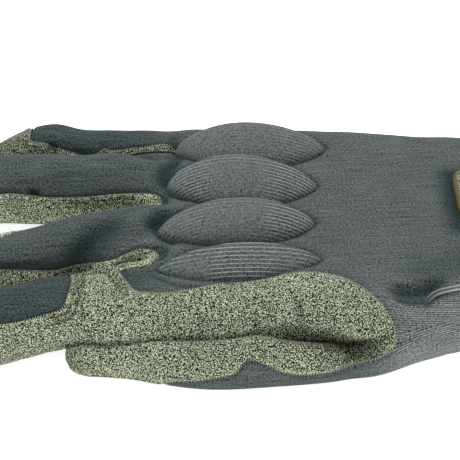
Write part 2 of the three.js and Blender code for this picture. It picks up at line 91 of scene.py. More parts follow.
# Tubes of cloth, in rows of x, the middle's y and z, the half width and the half height;
# a tip or root is rounded off between its two x places
Tube = namedtuple("Tube", "rows tip root")
LITTLE_FINGER = Tube(
    rows=[
        (-6, 34.5, 13.5, 10.0, 10.0), (-22, 36.4, 14.2, 10.0, 10.0), (-35, 37.6, 14.3, 9.8, 9.8),
        (-47, 37.8, 14.3, 9.5, 9.5), (-57, 38.8, 16.0, 9.5, 9.5), (-64, 39.0, 15.1, 9.2, 9.2),
        (-72, 38.4, 11.6, 9.0, 8.8), (-79, 38.0, 9.5, 8.8, 8.6), (-86, 37.6, 8.2, 8.6, 8.4),
    ],
    tip=(-68, -84.8),
    root=(-14, 2),
)
RING_FINGER = Tube(
    rows=[
        (-6, 11.0, 13.6, 10.4, 10.4), (-24, 14.6, 16.0, 10.4, 10.4), (-34, 17.0, 17.3, 10.3, 10.3),
        (-46, 17.4, 16.4, 10.5, 10.5), (-58, 18.2, 15.6, 10.5, 10.8), (-71, 18.8, 15.4, 10.4, 10.7),
        (-84, 19.0, 13.2, 9.9, 10.1), (-92, 19.0, 11.6, 9.6, 9.6), (-99, 19.0, 10.0, 9.4, 9.4),
    ],
    tip=(-82, -98.5),
    root=(-14, 2),
)
MIDDLE_FINGER = Tube(
    rows=[
        (-6, -11.0, 13.8, 10.6, 10.6), (-24, -11.4, 16.3, 10.5, 10.5), (-40, -12.3, 14.5, 10.5, 10.5),
        (-51, -14.6, 13.1, 10.5, 10.5), (-58, -16.8, 11.9, 10.5, 10.5), (-69, -18.5, 10.7, 10.6, 10.4),
        (-82, -20.5, 10.8, 10.3, 10.3), (-94, -22.0, 10.0, 9.9, 9.7), (-107, -23.0, 8.4, 9.6, 9.4),
    ],
    tip=(-88, -106.0),
    root=(-14, 2),
)
INDEX_FINGER = Tube(
    rows=[
        (-6, -33.0, 13.0, 10.6, 10.6), (-30, -37.0, 13.2, 10.4, 10.2), (-40, -40.5, 13.6, 10.2, 10.2),
        (-48, -43.0, 13.4, 10.0, 10.0), (-58, -45.3, 12.2, 10.5, 10.5), (-69, -47.3, 11.2, 10.8, 10.8),
        (-80, -49.0, 10.6, 10.4, 10.3), (-88, -50.3, 9.8, 10.2, 9.8), (-96, -51.3, 8.5, 10.0, 9.6),
    ],
    tip=(-78, -95.8),
    root=(-14, 2),
)
THUMB = Tube(
    rows=[
        (62, -42.5, 10.0, 8.0, 9.0), (52, -45.0, 9.8, 10.4, 9.8), (42, -49.2, 9.4, 11.0, 9.6),
        (31, -51.3, 8.9, 11.2, 9.1), (14, -53.2, 7.9, 11.0, 8.1), (-8, -54.4, 7.3, 10.6, 7.5),
        (-20, -52.6, 7.2, 10.0, 7.4), (-28, -50.8, 6.8, 9.4, 7.0), (-36, -50.2, 6.2, 8.8, 6.4),
        (-47, -50.0, 5.8, 8.4, 6.0),
    ],
    tip=(-38.5, -46.2),
    root=(56, 70),
)
# The full side of the hand over the thumb, and the lip of its web
SADDLE_ROLL = Tube(
    rows=[
        (54, -38.0, 13.0, 7.0, 8.0), (44, -45.0, 14.0, 10.5, 9.8), (35, -46.5, 15.2, 12.0, 9.0),
        (27, -44.5, 15.6, 11.4, 9.0), (17, -43.0, 15.0, 10.4, 10.0), (0, -45.5, 14.2, 10.0, 10.0),
        (-20, -46.0, 13.8, 9.8, 9.8), (-36, -45.3, 13.2, 9.6, 9.8), (-48, -43.2, 13.4, 8.6, 8.6),
    ],
    tip=(-46, -58),
    root=(48, 62),
)
FINGERS = [LITTLE_FINGER, RING_FINGER, MIDDLE_FINGER, INDEX_FINGER]

# Hand and wrist: far and near edge, underside and top of each section;
# the root lies past the cuff's end, so the wrist isn't rounded off
HandSection = namedtuple("HandSection", "x far near low top")
HAND = [
    HandSection(140, 44.0, -50.0, 0, 29.0),
    HandSection(126, 43.0, -49.0, 0, 28.0),
    HandSection(106, 41.0, -47.0, 0, 26.5),
    HandSection(86, 40.2, -47.0, 0, 25.5),
    HandSection(66, 41.8, -50.0, 0, 25.6),
    HandSection(56, 43.6, -51.0, 0, 25.2),
    HandSection(40, 46.3, -50.0, 0, 24.6),
    HandSection(12, 47.4, -50.0, 0, 24.4),
    HandSection(-12, 47.2, -50.0, 0, 24.4),
    HandSection(-26, 45.0, -47.0, 1.0, 23.8),
]
HAND_TIP = (-12, -26)
HAND_ROOT = (200, 220)
HAND_CROWN = 0.7
ROUNDNESS = 0.96

# How softly one form runs into the next
FINGER_BLEND = 0.6
HAND_BLEND = 4.0
ROLL_BLEND = 3.0
CREASE_BLEND = 0.4
WEB_BLEND = 5.0
CREASE_END = (30.0, 46.0)

# Strips between two fingers, in rows of x, the far and the near bound of the strip,
# and the height of its seam on the far and the near side
LITTLE_RING_STRIP = [
    (-17, 30.8, 28.2, 26.0, 26.0), (-21, 31.9, 29.4, 26.0, 26.0), (-24, 32.0, 30.3, 26.0, 26.0),
    (-27, 31.6, 30.4, 26.0, 26.0), (-31, 31.5, 30.2, 26.0, 26.0), (-35, 31.2, 29.0, 26.0, 26.0),
    (-39, 31.6, 25.5, 23.5, 23.5), (-42, 34.5, 20.0, 20.9, 20.6), (-45, 37.7, 17.4, 20.6, 20.0),
    (-49, 38.0, 17.6, 21.8, 20.0), (-53, 38.4, 17.9, 23.2, 20.0), (-57, 38.8, 18.2, 24.8, 20.0),
    (-64, 39.0, 18.6, 24.4, 20.0), (-100, 37.7, 19.0, 14.0, 14.0),
]
RING_MIDDLE_STRIP = [
    (-21, 14.0, -11.0, 22.4, 22.4), (-26, 14.8, -11.4, 21.8, 22.0), (-34, 17.0, -11.9, 20.6, 21.0),
    (-46, 17.4, -13.2, 19.4, 19.6), (-58, 18.2, -16.8, 19.2, 18.5), (-69, 18.8, -18.5, 19.2, 21.2),
    (-76, 18.9, -19.5, 18.0, 18.0), (-102, 19.0, -22.6, 13.0, 13.0),
]
MIDDLE_INDEX_STRIP = [
    (-21, -11.0, -34.4, 21.3, 30.0), (-24, -11.2, -34.2, 20.7, 30.0), (-27, -11.4, -34.6, 20.3, 30.0),
    (-31, -11.7, -35.8, 18.8, 30.0), (-36, -12.0, -39.0, 16.9, 27.0), (-44, -13.0, -41.8, 14.2, 25.0),
    (-46, -13.4, -42.5, 13.8, 18.6), (-58, -16.8, -45.3, 16.0, 17.0), (-69, -18.5, -47.3, 17.0, 16.0),
    (-102, -22.6, -51.3, 13.0, 13.0),
]
STRIP_END = -21.0
LITTLE_STRIP_END = -17.5
STRIP_END_LENGTH = 3.5
MIDDLE_INDEX_SPREAD = 0.45

# The thumb saddle's outline as the camera sees it, in millimetres on a plane at its depth:
# the index finger's seam, round the web patch, the top of the web to the wrist,
# back along the thumb's lower seam, and round below the fingertip
SADDLE_PLANE_DEPTH = 466.6
SADDLE_BACK = -41.0
SADDLE_FLOOR_SEAM = 1.6
SADDLE_OUTLINE = [
    (-110, -22.0), (-66.9, -16.4), (-58.8, -15.2), (-51.5, -13.2), (-46.7, -11.7), (-45.4, -8.6),
    (-44.0, -4.4), (-43.4, 3.0), (-33.5, 3.0), (-31.5, -0.4), (-28.4, -4.3), (-25.6, -6.5),
    (-16.2, -6.8), (-10.6, -5.7), (-1.1, -3.8), (10.3, -2.1), (17.0, -1.3), (25.6, -1.5),
    (32.6, -2.9), (39.3, -7.1), (44.0, -12.4), (46.5, -18.2), (46.0, -21.6), (41.2, -25.5),
    (27.6, -29.4), (16.7, -29.7), (9.0, -26.6), (5.6, -25.5), (3.2, -27.0), (1.1, -29.7),
    (-8.4, -31.6), (-19.5, -32.9), (-30, -42), (-110, -42),
]

# Seams between panels of one cloth
FRONT_SHARE = 0.72
FRONT_HALF_WIDTH = 13.0
FRONT_END = 10.0
SOLE_FRONT = -22.0
PALM_SEAM_HEIGHT = 4.5
THUMB_PALM_SEAM = -46.0
THUMB_PALM_FRONT = -60.0
THUMB_PALM_TOP = 16.0
LITTLE_CAP_SEAM = -64.0
LITTLE_CAP_NEAR = 29.3
INDEX_BACK_SEAM = -43.5
INDEX_BACK_FAR = -32.0
CUFF_START = 76.0
CUFF_END = 126.0

# Knuckle pads, lenses that meet side by side: the place of the highest point, the length of
# the lens before and behind it, its half widths away from the thumb and towards it, the rise
# of its dome, the power that rounds it across (lower is fuller), how far its middle line
# drifts sideways for each millimetre of length, the distance between its ribs, how much
# flatter than its crest they run, and how clearly they show before, behind and at the middle
Pad = namedtuple(
    "Pad",
    "node x y front back far near rise crown drift pitch bend ribs_front ribs_back ribs_middle",
)
PADS = [
    Pad("knuckle_pad_little", 4.6, 28.9, 22, 25.6, 10.6, 13, 7.4, 0.55, 0, 1.05, 0.2, 0.1, 0.5, 0.1),
    Pad("knuckle_pad_ring", 2, 7.6, 21.5, 24.7, 13, 13, 7.5, 0.55, -0.03, 1.05, 0.2, 0.8, 1, 0.1),
    Pad("knuckle_pad_middle", 2, -15.6, 23.4, 23.4, 12.5, 9.6, 6.8, 0.55, 0.07, 1.05, 0.2, 0.4, 1, 0.1),
    Pad("knuckle_pad_index", 2.8, -34, 23.2, 23.2, 9.2, 8, 4.6, 0.75, 0.1, 1.12, 0.5, 0.2, 0.6, 0.9),
]
PAD_BASE = 24.2
PAD_END_POWER = 0.7
PAD_DOME_POWER = 0.9
PAD_GAP = 0.12

# Grid of the shell, how near to a seam a point moves onto it, how far a slope is felt,
# the least slope and the longest step of a point that moves onto the shell or a seam
VOXEL = 0.8
GRID_LOW = (-110.0, -72.0, -4.0)
GRID_HIGH = (130.0, 54.0, 34.0)
EVENING_ROUNDS = 2
SNAP = 0.24
PROBE = 0.05
LEAST_SLOPE = 0.1
LEAST_BORDER_SLOPE = 0.25
LONGEST_STEP = 0.6
# Points that are set against an outline at a time
CHUNK = 20000


def to_scene(points):
    """Millimetres of the tables to metres of the frame."""
    return (np.asarray(points, dtype=float) - BOX_MIDDLE) * MM


# Smooth tables

SMOOTH_SAMPLES = 800
OUTLINE_STEPS = 8
PATH_SAMPLES = 8
TINY = 1e-9


def smooth_columns(rows, x):
    """The columns of a table at x, on a smooth curve through its rows."""
    table = np.array(sorted(rows), dtype=float)
    knots, values = table[:, 0], table[:, 1:]
    slopes = np.gradient(values, knots, axis=0)
    fine = np.linspace(knots[0], knots[-1], SMOOTH_SAMPLES)
    left = np.clip(np.searchsorted(knots, fine, side="right") - 1, 0, len(knots) - 2)
    span = knots[left + 1] - knots[left]
    t = ((fine - knots[left]) / span)[:, None]
    start, end = values[left], values[left + 1]
    start_slope = slopes[left] * span[:, None]
    end_slope = slopes[left + 1] * span[:, None]
    curve = (
        (1 + 2 * t) * (1 - t) ** 2 * start
        + t * (1 - t) ** 2 * start_slope
        + t**2 * (3 - 2 * t) * end
        + t**2 * (t - 1) * end_slope
    )
    return [np.interp(x, fine, column) for column in curve.T]


def smooth_outline(outline):
    """A closed smooth line through the points of an outline."""
    points = np.array(outline, dtype=float)
    before, after = np.roll(points, 1, axis=0), np.roll(points, -1, axis=0)
    second = np.roll(points, -2, axis=0)
    line = []
    for t in np.arange(OUTLINE_STEPS) / OUTLINE_STEPS:
        straight = points + 0.5 * t * (after - before)
        bent = t**2 * (before - 2.5 * points + 2 * after - 0.5 * second)
        turned = 0.5 * t**3 * (3 * (points - after) + second - before)
        line.append(straight + bent + turned)
    return np.stack(line, axis=1).reshape(-1, 2)


def smooth_step(value, start, end):
    """0 at the start, 1 at the end, and smooth between them."""
    t = np.clip((value - start) / (end - start), 0, 1)
    return t * t * (3 - 2 * t)


def bell(distance, reach):
    """1 at no distance, and fading away past a reach."""
    return np.exp(-((distance / reach) ** 2))


def between(low, high, share):
    """A value from low to high, by a share."""
    return low + (high - low) * share


def unit(vectors):
    """Vectors made one long."""
    return vectors / np.maximum(np.linalg.norm(vectors, axis=1, keepdims=True), TINY)


def even_path(corners, count):
    """A smooth open line through corners, with points spread evenly along it."""
    corners = np.array(corners, dtype=float)
    way = np.concatenate([[0], np.cumsum(np.linalg.norm(np.diff(corners, axis=0), axis=1))])
    rows = np.column_stack([way, corners])
    fine = np.stack(smooth_columns(rows.tolist(), np.linspace(0, way[-1], PATH_SAMPLES * count)), axis=1)
    way = np.concatenate([[0], np.cumsum(np.linalg.norm(np.diff(fine, axis=0), axis=1))])
    spread = np.linspace(0, way[-1], count)
    return np.stack([np.interp(spread, way, column) for column in fine.T], axis=1)


# Distances to the glove's forms, negative inside


def rounding(x, bounds):
    """0 before a rounded end, 1 at its very end."""
    start, end = bounds
    return np.clip((x - start) / (end - start), 0, None)


def tube_distance(tube, x, y, z):
    """Distance to a tube with rounded corners and ends."""
    middle_y, middle_z, half_width, half_height = smooth_columns(tube.rows, x)
    corner = ROUNDNESS * np.minimum(half_width, half_height)
    end = np.maximum(rounding(x, tube.tip), rounding(x, tube.root))
    across = np.abs(y - middle_y) - (half_width - corner)
    above = np.abs(z - middle_z) - (half_height - corner)
    outside = np.sqrt(np.maximum(across, 0) ** 2 + np.maximum(above, 0) ** 2 + (corner * end) ** 2)
    return outside + np.minimum(np.maximum(across, above), 0) - corner


def hand_distance(x, y, z):
    """Distance to the hand and wrist, whose back is crowned."""
    rows = [
        (s.x, (s.far + s.near) / 2, (s.low + s.top) / 2, (s.far - s.near) / 2, (s.top - s.low) / 2)
        for s in HAND
    ]
    middle_y, middle_z, half_width, half_height = smooth_columns(rows, x)
    share = np.clip(np.abs(y - middle_y) / half_width, 0, 1)
    crown = HAND_CROWN * (1 - share**2) * np.clip(z / middle_z - 1, 0, 1)
    return tube_distance(Tube(rows, HAND_TIP, HAND_ROOT), x, y, z - crown)


def blend(first, second, reach):
    """The lower of two distances, rounded where they meet."""
    share = np.clip(0.5 + 0.5 * (second - first) / reach, 0, 1)
    return second * (1 - share) + first * share - reach * share * (1 - share)


def glove_distance(x, y, z):
    """Distance to the outside of the glove."""
    fingers = tube_distance(FINGERS[0], x, y, z)
    for finger in FINGERS[1:]:
        fingers = blend(fingers, tube_distance(finger, x, y, z), FINGER_BLEND)
    hand = blend(fingers, hand_distance(x, y, z), HAND_BLEND)
    hand = blend(hand, tube_distance(SADDLE_ROLL, x, y, z), ROLL_BLEND)
    crease = between(CREASE_BLEND, WEB_BLEND, smooth_step(x, *CREASE_END))
    return blend(hand, tube_distance(THUMB, x, y, z), crease)


def distance_and_slope(points):
    """The glove's distance at points, and the direction in which it grows."""
    x, y, z = points.T
    here = glove_distance(x, y, z)
    slope = np.stack(
        [
            glove_distance(x + PROBE, y, z) - here,
            glove_distance(x, y + PROBE, z) - here,
            glove_distance(x, y, z + PROBE) - here,
        ],
        axis=1,
    )
    return here, slope / PROBE


def outward_at(points):
    """Directions out of the cloth, one unit long."""
    return unit(distance_and_slope(points)[1])


def onto_surface(points, rounds=2):
    """Points moved onto the zero surface of the glove's distance."""
    for _ in range(rounds):
        here, slope = distance_and_slope(points)
        size = np.maximum((slope**2).sum(axis=1), LEAST_SLOPE)
        step = np.clip(here / size, -LONGEST_STEP, LONGEST_STEP)
        points = points - step[:, None] * slope
    return points


# The shell's mesh


def surface_net(values, low, step):
    """Points and triangles of the zero surface of values on a grid."""
    inside = values < 0
    count = np.zeros(tuple(n - 1 for n in values.shape), dtype=np.int8)
    for corner in np.ndindex(2, 2, 2):
        window = tuple(slice(c, n - 1 + c) for c, n in zip(corner, values.shape))
        count += inside[window]
    active = (count > 0) & (count < 8)
    cells = np.argwhere(active)
    number = np.full(active.shape, -1, dtype=np.int32)
    number[active] = np.arange(len(cells))
    total = np.zeros((len(cells), 3))
    crossings = np.zeros(len(cells))
    for axis in range(3):
        for side in np.ndindex(2, 2):
            start = cells.copy()
            start[:, (axis + 1) % 3] += side[0]
            start[:, (axis + 2) % 3] += side[1]
            end = start.copy()
            end[:, axis] += 1
            first, second = values[tuple(start.T)], values[tuple(end.T)]
            crossed = (first < 0) != (second < 0)
            share = np.where(crossed, first / np.where(crossed, first - second, 1), 0)
            place = start.astype(float)
            place[:, axis] += share
            total += place * crossed[:, None]
            crossings += crossed
    points = np.array(low) + step * total / crossings[:, None]
    return points, np.concatenate([net_faces(inside, number, axis) for axis in range(3)])


def net_faces(inside, number, axis):
    """Triangles across the grid edges that lie along one axis and cross the surface."""
    u, v = (axis + 1) % 3, (axis + 2) % 3
    lower = np.take(inside, range(inside.shape[axis] - 1), axis)
    upper = np.take(inside, range(1, inside.shape[axis]), axis)
    at = np.argwhere(lower != upper)
    for side in (u, v):
        at = at[(at[:, side] > 0) & (at[:, side] < inside.shape[side] - 1)]
    corners = []
    for back_u, back_v in ((0, 0), (1, 0), (1, 1), (0, 1)):
        cell = at.copy()
        cell[:, u] -= back_u
        cell[:, v] -= back_v
        corners.append(number[tuple(cell.T)])
    quads = np.stack(corners, axis=1)
    turned = ~lower[tuple(at.T)]
    quads[turned] = quads[turned][:, ::-1]
    return np.concatenate([quads[:, [0, 1, 2]], quads[:, [0, 2, 3]]])


def all_edges(triangles):
    """The three sides of every triangle, each in its own direction."""
    return np.concatenate([triangles[:, [0, 1]], triangles[:, [1, 2]], triangles[:, [2, 0]]])


def edge_keys(edges, count):
    """One number for each edge, whichever way it runs."""
    return edges.min(axis=1) * count + edges.max(axis=1)


def neighbour_middles(points, triangles):
    """The middle of each point's neighbours."""
    edges = all_edges(triangles)
    ends, others = np.concatenate([edges, edges[:, ::-1]]).T
    count = np.maximum(np.bincount(ends, minlength=len(points)), 1)
    sums = [np.bincount(ends, points[others, axis], len(points)) for axis in range(3)]
    return np.stack(sums, axis=1) / count[:, None]


def glove_surface():
    """Points and triangles of the whole glove's outside."""
    axes = [np.arange(low, high + VOXEL, VOXEL) for low, high in zip(GRID_LOW, GRID_HIGH)]
    x = axes[0][:, None, None]
    y = axes[1][None, :, None]
    z = axes[2][None, None, :]
    points, triangles = surface_net(glove_distance(x, y, z), GRID_LOW, VOXEL)
    for _ in range(EVENING_ROUNDS):
        points += 0.5 * (neighbour_middles(points, triangles) - points)
        points = onto_surface(points, rounds=1)
    return onto_surface(points), triangles


# Panels: each region's value is negative inside it, and about a distance near its border


def outline_distance(line, points):
    """Distance from points to a closed line in a plane, negative inside."""
    start, end = line, np.roll(line, -1, axis=0)
    along = end - start
    length = np.maximum((along**2).sum(axis=1), TINY)
    result = np.empty(len(points))
    for first in range(0, len(points), CHUNK):
        p = points[first : first + CHUNK, None, :]
        offset = p - start
        share = np.clip((offset * along).sum(axis=2) / length, 0, 1)
        distance = np.sqrt(((offset - share[..., None] * along) ** 2).sum(axis=2)).min(axis=1)
        rising = (start[:, 1] <= p[..., 1]) != (end[:, 1] <= p[..., 1])
        slope = np.where(np.abs(along[:, 1]) > TINY, along[:, 1], TINY)
        crossing = start[:, 0] + (p[..., 1] - start[:, 1]) / slope * along[:, 0]
        inside = (rising & (p[..., 0] < crossing)).sum(axis=1) % 2 == 1
        result[first : first + CHUNK] = np.where(inside, -distance, distance)
    return result


def saddle_region(points):
    """What the saddle's outline covers as the camera sees it, without the far side."""
    offset = points - CAMERA_PLACE
    scale = SADDLE_PLANE_DEPTH / (offset @ FORWARD)
    on_plane = np.stack([points[:, 0] * scale, (offset @ UPWARD) * scale], axis=1)
    on_plane[:, 1] += CAMERA_AIM @ UPWARD
    side = outline_distance(smooth_outline(SADDLE_OUTLINE), on_plane)
    back = points @ FORWARD - SADDLE_BACK
    return np.maximum.reduce([side, back, SADDLE_FLOOR_SEAM - points[:, 2]])


def strip_region(rows, points, spread=1.0, strip_end=STRIP_END):
    """The strip's two walls, under a top that runs from seam to seam over a share of its width."""
    x, y, z = points.T
    far, near, far_top, near_top = smooth_columns(rows, x)
    end = rounding(x, (strip_end - STRIP_END_LENGTH, strip_end))
    middle, half = (far + near) / 2, (far - near) / 2
    half = half * np.sqrt(np.clip(1 - end**2, 0, 1))
    share = np.clip((y - near) / (spread * (far - near)), 0, 1)
    top = near_top + (far_top - near_top) * share
    return np.maximum.reduce([np.abs(y - middle) - half, z - top, x - strip_end])


def little_ring_region(points):
    """The strip beside the little finger, and the cap of its tip."""
    cap = np.maximum(LITTLE_CAP_NEAR - points[:, 1], points[:, 0] - LITTLE_CAP_SEAM)
    strip = strip_region(LITTLE_RING_STRIP, points, strip_end=LITTLE_STRIP_END)
    return np.minimum(strip, cap)


def palm_region(points):
    """The flat palm, and the fronts of the fingers."""
    x, y, z = points.T
    value = np.maximum(z - PALM_SEAM_HEIGHT, SOLE_FRONT - x)
    for finger in FINGERS:
        middle_y, middle_z, _, half_height = smooth_columns(finger.rows, x)
        seam = z - (middle_z - FRONT_SHARE * half_height)
        front = np.maximum.reduce([seam, np.abs(y - middle_y) - FRONT_HALF_WIDTH, x - FRONT_END])
        value = np.minimum(value, front)
    return value


def thumb_region(points):
    """What lies under and behind the thumb."""
    x, y, z = points.T
    return np.maximum.reduce([THUMB_PALM_FRONT - x, y - THUMB_PALM_SEAM, z - THUMB_PALM_TOP])


def index_back_region(points):
    """The back of the index finger, before the web patch."""
    return np.maximum(points[:, 0] - INDEX_BACK_SEAM, points[:, 1] - INDEX_BACK_FAR)


def middle_index_region(points):
    """The strip between middle and index finger."""
    return strip_region(MIDDLE_INDEX_STRIP, points, MIDDLE_INDEX_SPREAD)


def cuff_end_region(points):
    """What lies before the wrist opening."""
    return points[:, 0] - CUFF_END


# Panels in the order in which they are cut from the shell; what is left is the back
REGIONS = {
    "thumb_saddle": saddle_region,
    "wrist_cuff": lambda points: CUFF_START - points[:, 0],
    "thumb_panel": thumb_region,
    "palm_panel": palm_region,
    "fourchette_little_ring": little_ring_region,
    "fourchette_ring_middle": lambda points: strip_region(RING_MIDDLE_STRIP, points),
    "fourchette_middle_index": middle_index_region,
    "index_back": index_back_region,
}
HEATHERED = (
    "thumb_saddle",
    "fourchette_little_ring",
    "fourchette_ring_middle",
    "fourchette_middle_index",
)


def settle_on_border(points, triangles, region):
    """Values of a region at points, with the points beside its border moved onto it."""
    values = region(points)
    used = np.zeros(len(points), dtype=bool)
    used[triangles] = True
    close = np.flatnonzero(used & (np.abs(values) < SNAP))
    if len(close):
        spot = points[close]
        slope = np.stack([region(spot + PROBE * step) - values[close] for step in np.eye(3)], axis=1)
        slope /= PROBE
        outward = outward_at(spot)
        slope -= (slope * outward).sum(axis=1, keepdims=True) * outward
        size = np.maximum((slope**2).sum(axis=1), LEAST_BORDER_SLOPE)
        points[close] = spot - (values[close] / size)[:, None] * slope
        values[close] = 0
    return values


def lone_corner_first(pieces, sign):
    """Triangles across a line, turned so that the corner on its own side, or on the line, is first."""
    zero = (sign == 0).any(axis=1)
    alone = np.where(zero[:, None], sign == 0, sign == -np.sign(sign.sum(axis=1))[:, None])
    order = (alone.argmax(axis=1)[:, None] + np.arange(3)) % 3
    return np.take_along_axis(pieces, order, axis=1), np.take_along_axis(sign, order, axis=1), zero


def crossing_points(pieces, zero, points, values):
    """Points at which the sides of pieces cross the zero line, added to the others."""
    ends = np.concatenate([pieces[:, [0, 1]], pieces[:, [0, 2]], pieces[:, [1, 2]]])
    needed = np.concatenate([~zero, ~zero, zero])
    unique, number = np.unique(np.sort(ends, axis=1)[needed], axis=0, return_inverse=True)
    first, second = values[unique[:, 0]], values[unique[:, 1]]
    share = (first / (first - second))[:, None]
    fresh = points[unique[:, 0]] * (1 - share) + points[unique[:, 1]] * share
    numbers = np.full(len(ends), -1)
    numbers[needed] = number.ravel() + len(points)
    return numbers.reshape(3, -1), np.concatenate([points, fresh])


def cut(points, triangles, values):
    """Splits triangles along the zero line of values: inside ones, outside ones, all points."""
    sign = np.sign(values)[triangles]
    mixed = (sign.min(axis=1) < 0) & (sign.max(axis=1) > 0)
    inside = [triangles[~mixed & (sign.sum(axis=1) < 0)]]
    outside = [triangles[~mixed & (sign.sum(axis=1) >= 0)]]
    pieces, sign, zero = lone_corner_first(triangles[mixed], sign[mixed])
    (a, b, c), points = crossing_points(pieces, zero, points, values)
    tip, left, right = pieces.T

    # Where no corner lies on the line, the lone tip is cut off and the rest is two triangles
    whole = ~zero
    tip_part = np.stack([tip, a, b], axis=1)[whole]
    rest_one = np.stack([a, left, right], axis=1)[whole]
    rest_two = np.stack([a, right, b], axis=1)[whole]
    tip_inside = sign[whole, 0] < 0
    inside += [tip_part[tip_inside], rest_one[~tip_inside], rest_two[~tip_inside]]
    outside += [tip_part[~tip_inside], rest_one[tip_inside], rest_two[tip_inside]]

    # Where a corner lies on the line, the triangle is halved through it
    half_left = np.stack([tip, left, c], axis=1)[zero]
    half_right = np.stack([tip, c, right], axis=1)[zero]
    left_inside = sign[zero, 1] < 0
    inside += [half_left[left_inside], half_right[~left_inside]]
    outside += [half_left[~left_inside], half_right[left_inside]]
    return np.concatenate(inside), np.concatenate(outside), points


def cut_panels():
    """Cuts the shell into its panels: all points, and the triangles of each panel."""
    points, rest = glove_surface()
    values = settle_on_border(points, rest, cuff_end_region)
    rest, _, points = cut(points, rest, values)
    panels = {}
    for name, region in REGIONS.items():
        values = settle_on_border(points, rest, region)
        panels[name], rest, points = cut(points, rest, values)
    panels["back_panel"] = rest
    return points, panels


_shell = {}


def shell():
    """The shell's points, outward directions, panels and distances to its seams, made once."""
    if not _shell:
        points, panels = cut_panels()
        points = onto_surface(points)
        heathered = np.zeros(len(points), dtype=bool)
        knit = np.zeros(len(points), dtype=bool)
        uses = np.zeros(len(points), dtype=int)
        for name, triangles in panels.items():
            (heathered if name in HEATHERED else knit)[triangles] = True
            uses[np.unique(triangles)] += 1
        _shell.update(
            points=points,
            outward=outward_at(points),
            panels=panels,
            seam=nearest_distance(points, points[heathered & knit]),
            edge=nearest_distance(points, points[uses > 1]),
        )
    return _shell


def nearest(points, targets):
    """Distance from each point to the nearest of some targets, and that target's number."""
    tree = KDTree(len(targets))
    for number, spot in enumerate(targets):
        tree.insert(spot, number)
    tree.balance()
    found = [tree.find(spot) for spot in points]
    return np.array([hit[2] for hit in found]), np.array([hit[1] for hit in found], dtype=int)


def nearest_distance(points, targets):
    """Distance from each point to the nearest of some targets."""
    return nearest(points, targets)[0]


# Relief of the cloth, in millimetres along its outward direction

# Dips along the seams of two cloths and the joins of one, and the roll beside a heathered seam
SEAM_DIP = 0.7
SEAM_DIP_REACH = 1.0
JOIN_DIP = 0.3
JOIN_DIP_REACH = 0.7
ROLL_RISE = 0.35
ROLL_PLACE = 1.3
ROLL_REACH = 0.8
# Grooves of the web patch's hem, and where the patch begins and ends: x places, and height
HEM_GROOVE = 0.6
HEM_GROOVE_PLACES = (1.4, 3.1)
HEM_GROOVE_REACH = 0.45
WEB_PATCH_LEFT = (-51, -48)
WEB_PATCH_RIGHT = (-31, -27)
WEB_PATCH_LOW = (15, 18)
# Sunk cloth round the pads, from a height on
PAD_MOAT = 1.0
PAD_MOAT_REACH = 1.7
PAD_MOAT_SLANT = 0.8
PAD_MOAT_HEIGHT = (16, 19)
# A distance past every reach, and the least share of a lens at its tips
FAR_AWAY = 100.0
LENS_TIP = 0.002
# The thumb under the side of the hand: how deep it sinks, deepest at the web, and the lip over it
CREASE_SINK = 1.8
CREASE_SINK_REACH = 1.0
WEB_SINK = 4.8
WEB_SINK_REACH = 4.6
WEB_MIDDLE = 27.0
WEB_HALF = 16.0
LIP_RISE = 0.6
LIP_PLACE = 1.0
LIP_REACH = 1.1
CREASE_SIDE = 0.8
THUMB_SIDE = (44, 47)
# The cuff's hem, and heights over which the relief of what rests on the floor fades in
CUFF_HEM = 8.5
CUFF_HEM_GROOVE = 0.5
CUFF_HEM_REACH = 0.8
FLOOR_HEIGHT = (0.2, 2.5)

# Broad hollows and humps of slack cloth: a place, reaches along, across and upwards,
# the turn of its length from x in degrees, and how far it stands proud
Hump = namedtuple("Hump", "x y z along across up turn rise")
HUMPS = [
    Hump(-70.0, 20.0, 26, 6.0, 9.0, 10, 70, -0.8),
    Hump(-46.0, 10.5, 24, 13.0, 3.4, 6, 4, -0.9),
    Hump(-57.0, 14.0, 25, 5.0, 4.5, 7, 60, 0.6),
    Hump(-34.0, 12.0, 26, 4.0, 7.0, 8, 60, -0.7),
    Hump(-46.0, 30.5, 21, 6.0, 1.6, 3, -20, -1.2),
    Hump(56.0, -43.6, 24, 9.5, 2.8, 5, 10, -1.2),
    Hump(66.0, -6.0, 27, 3.5, 18.0, 6, 0, -0.5),
]

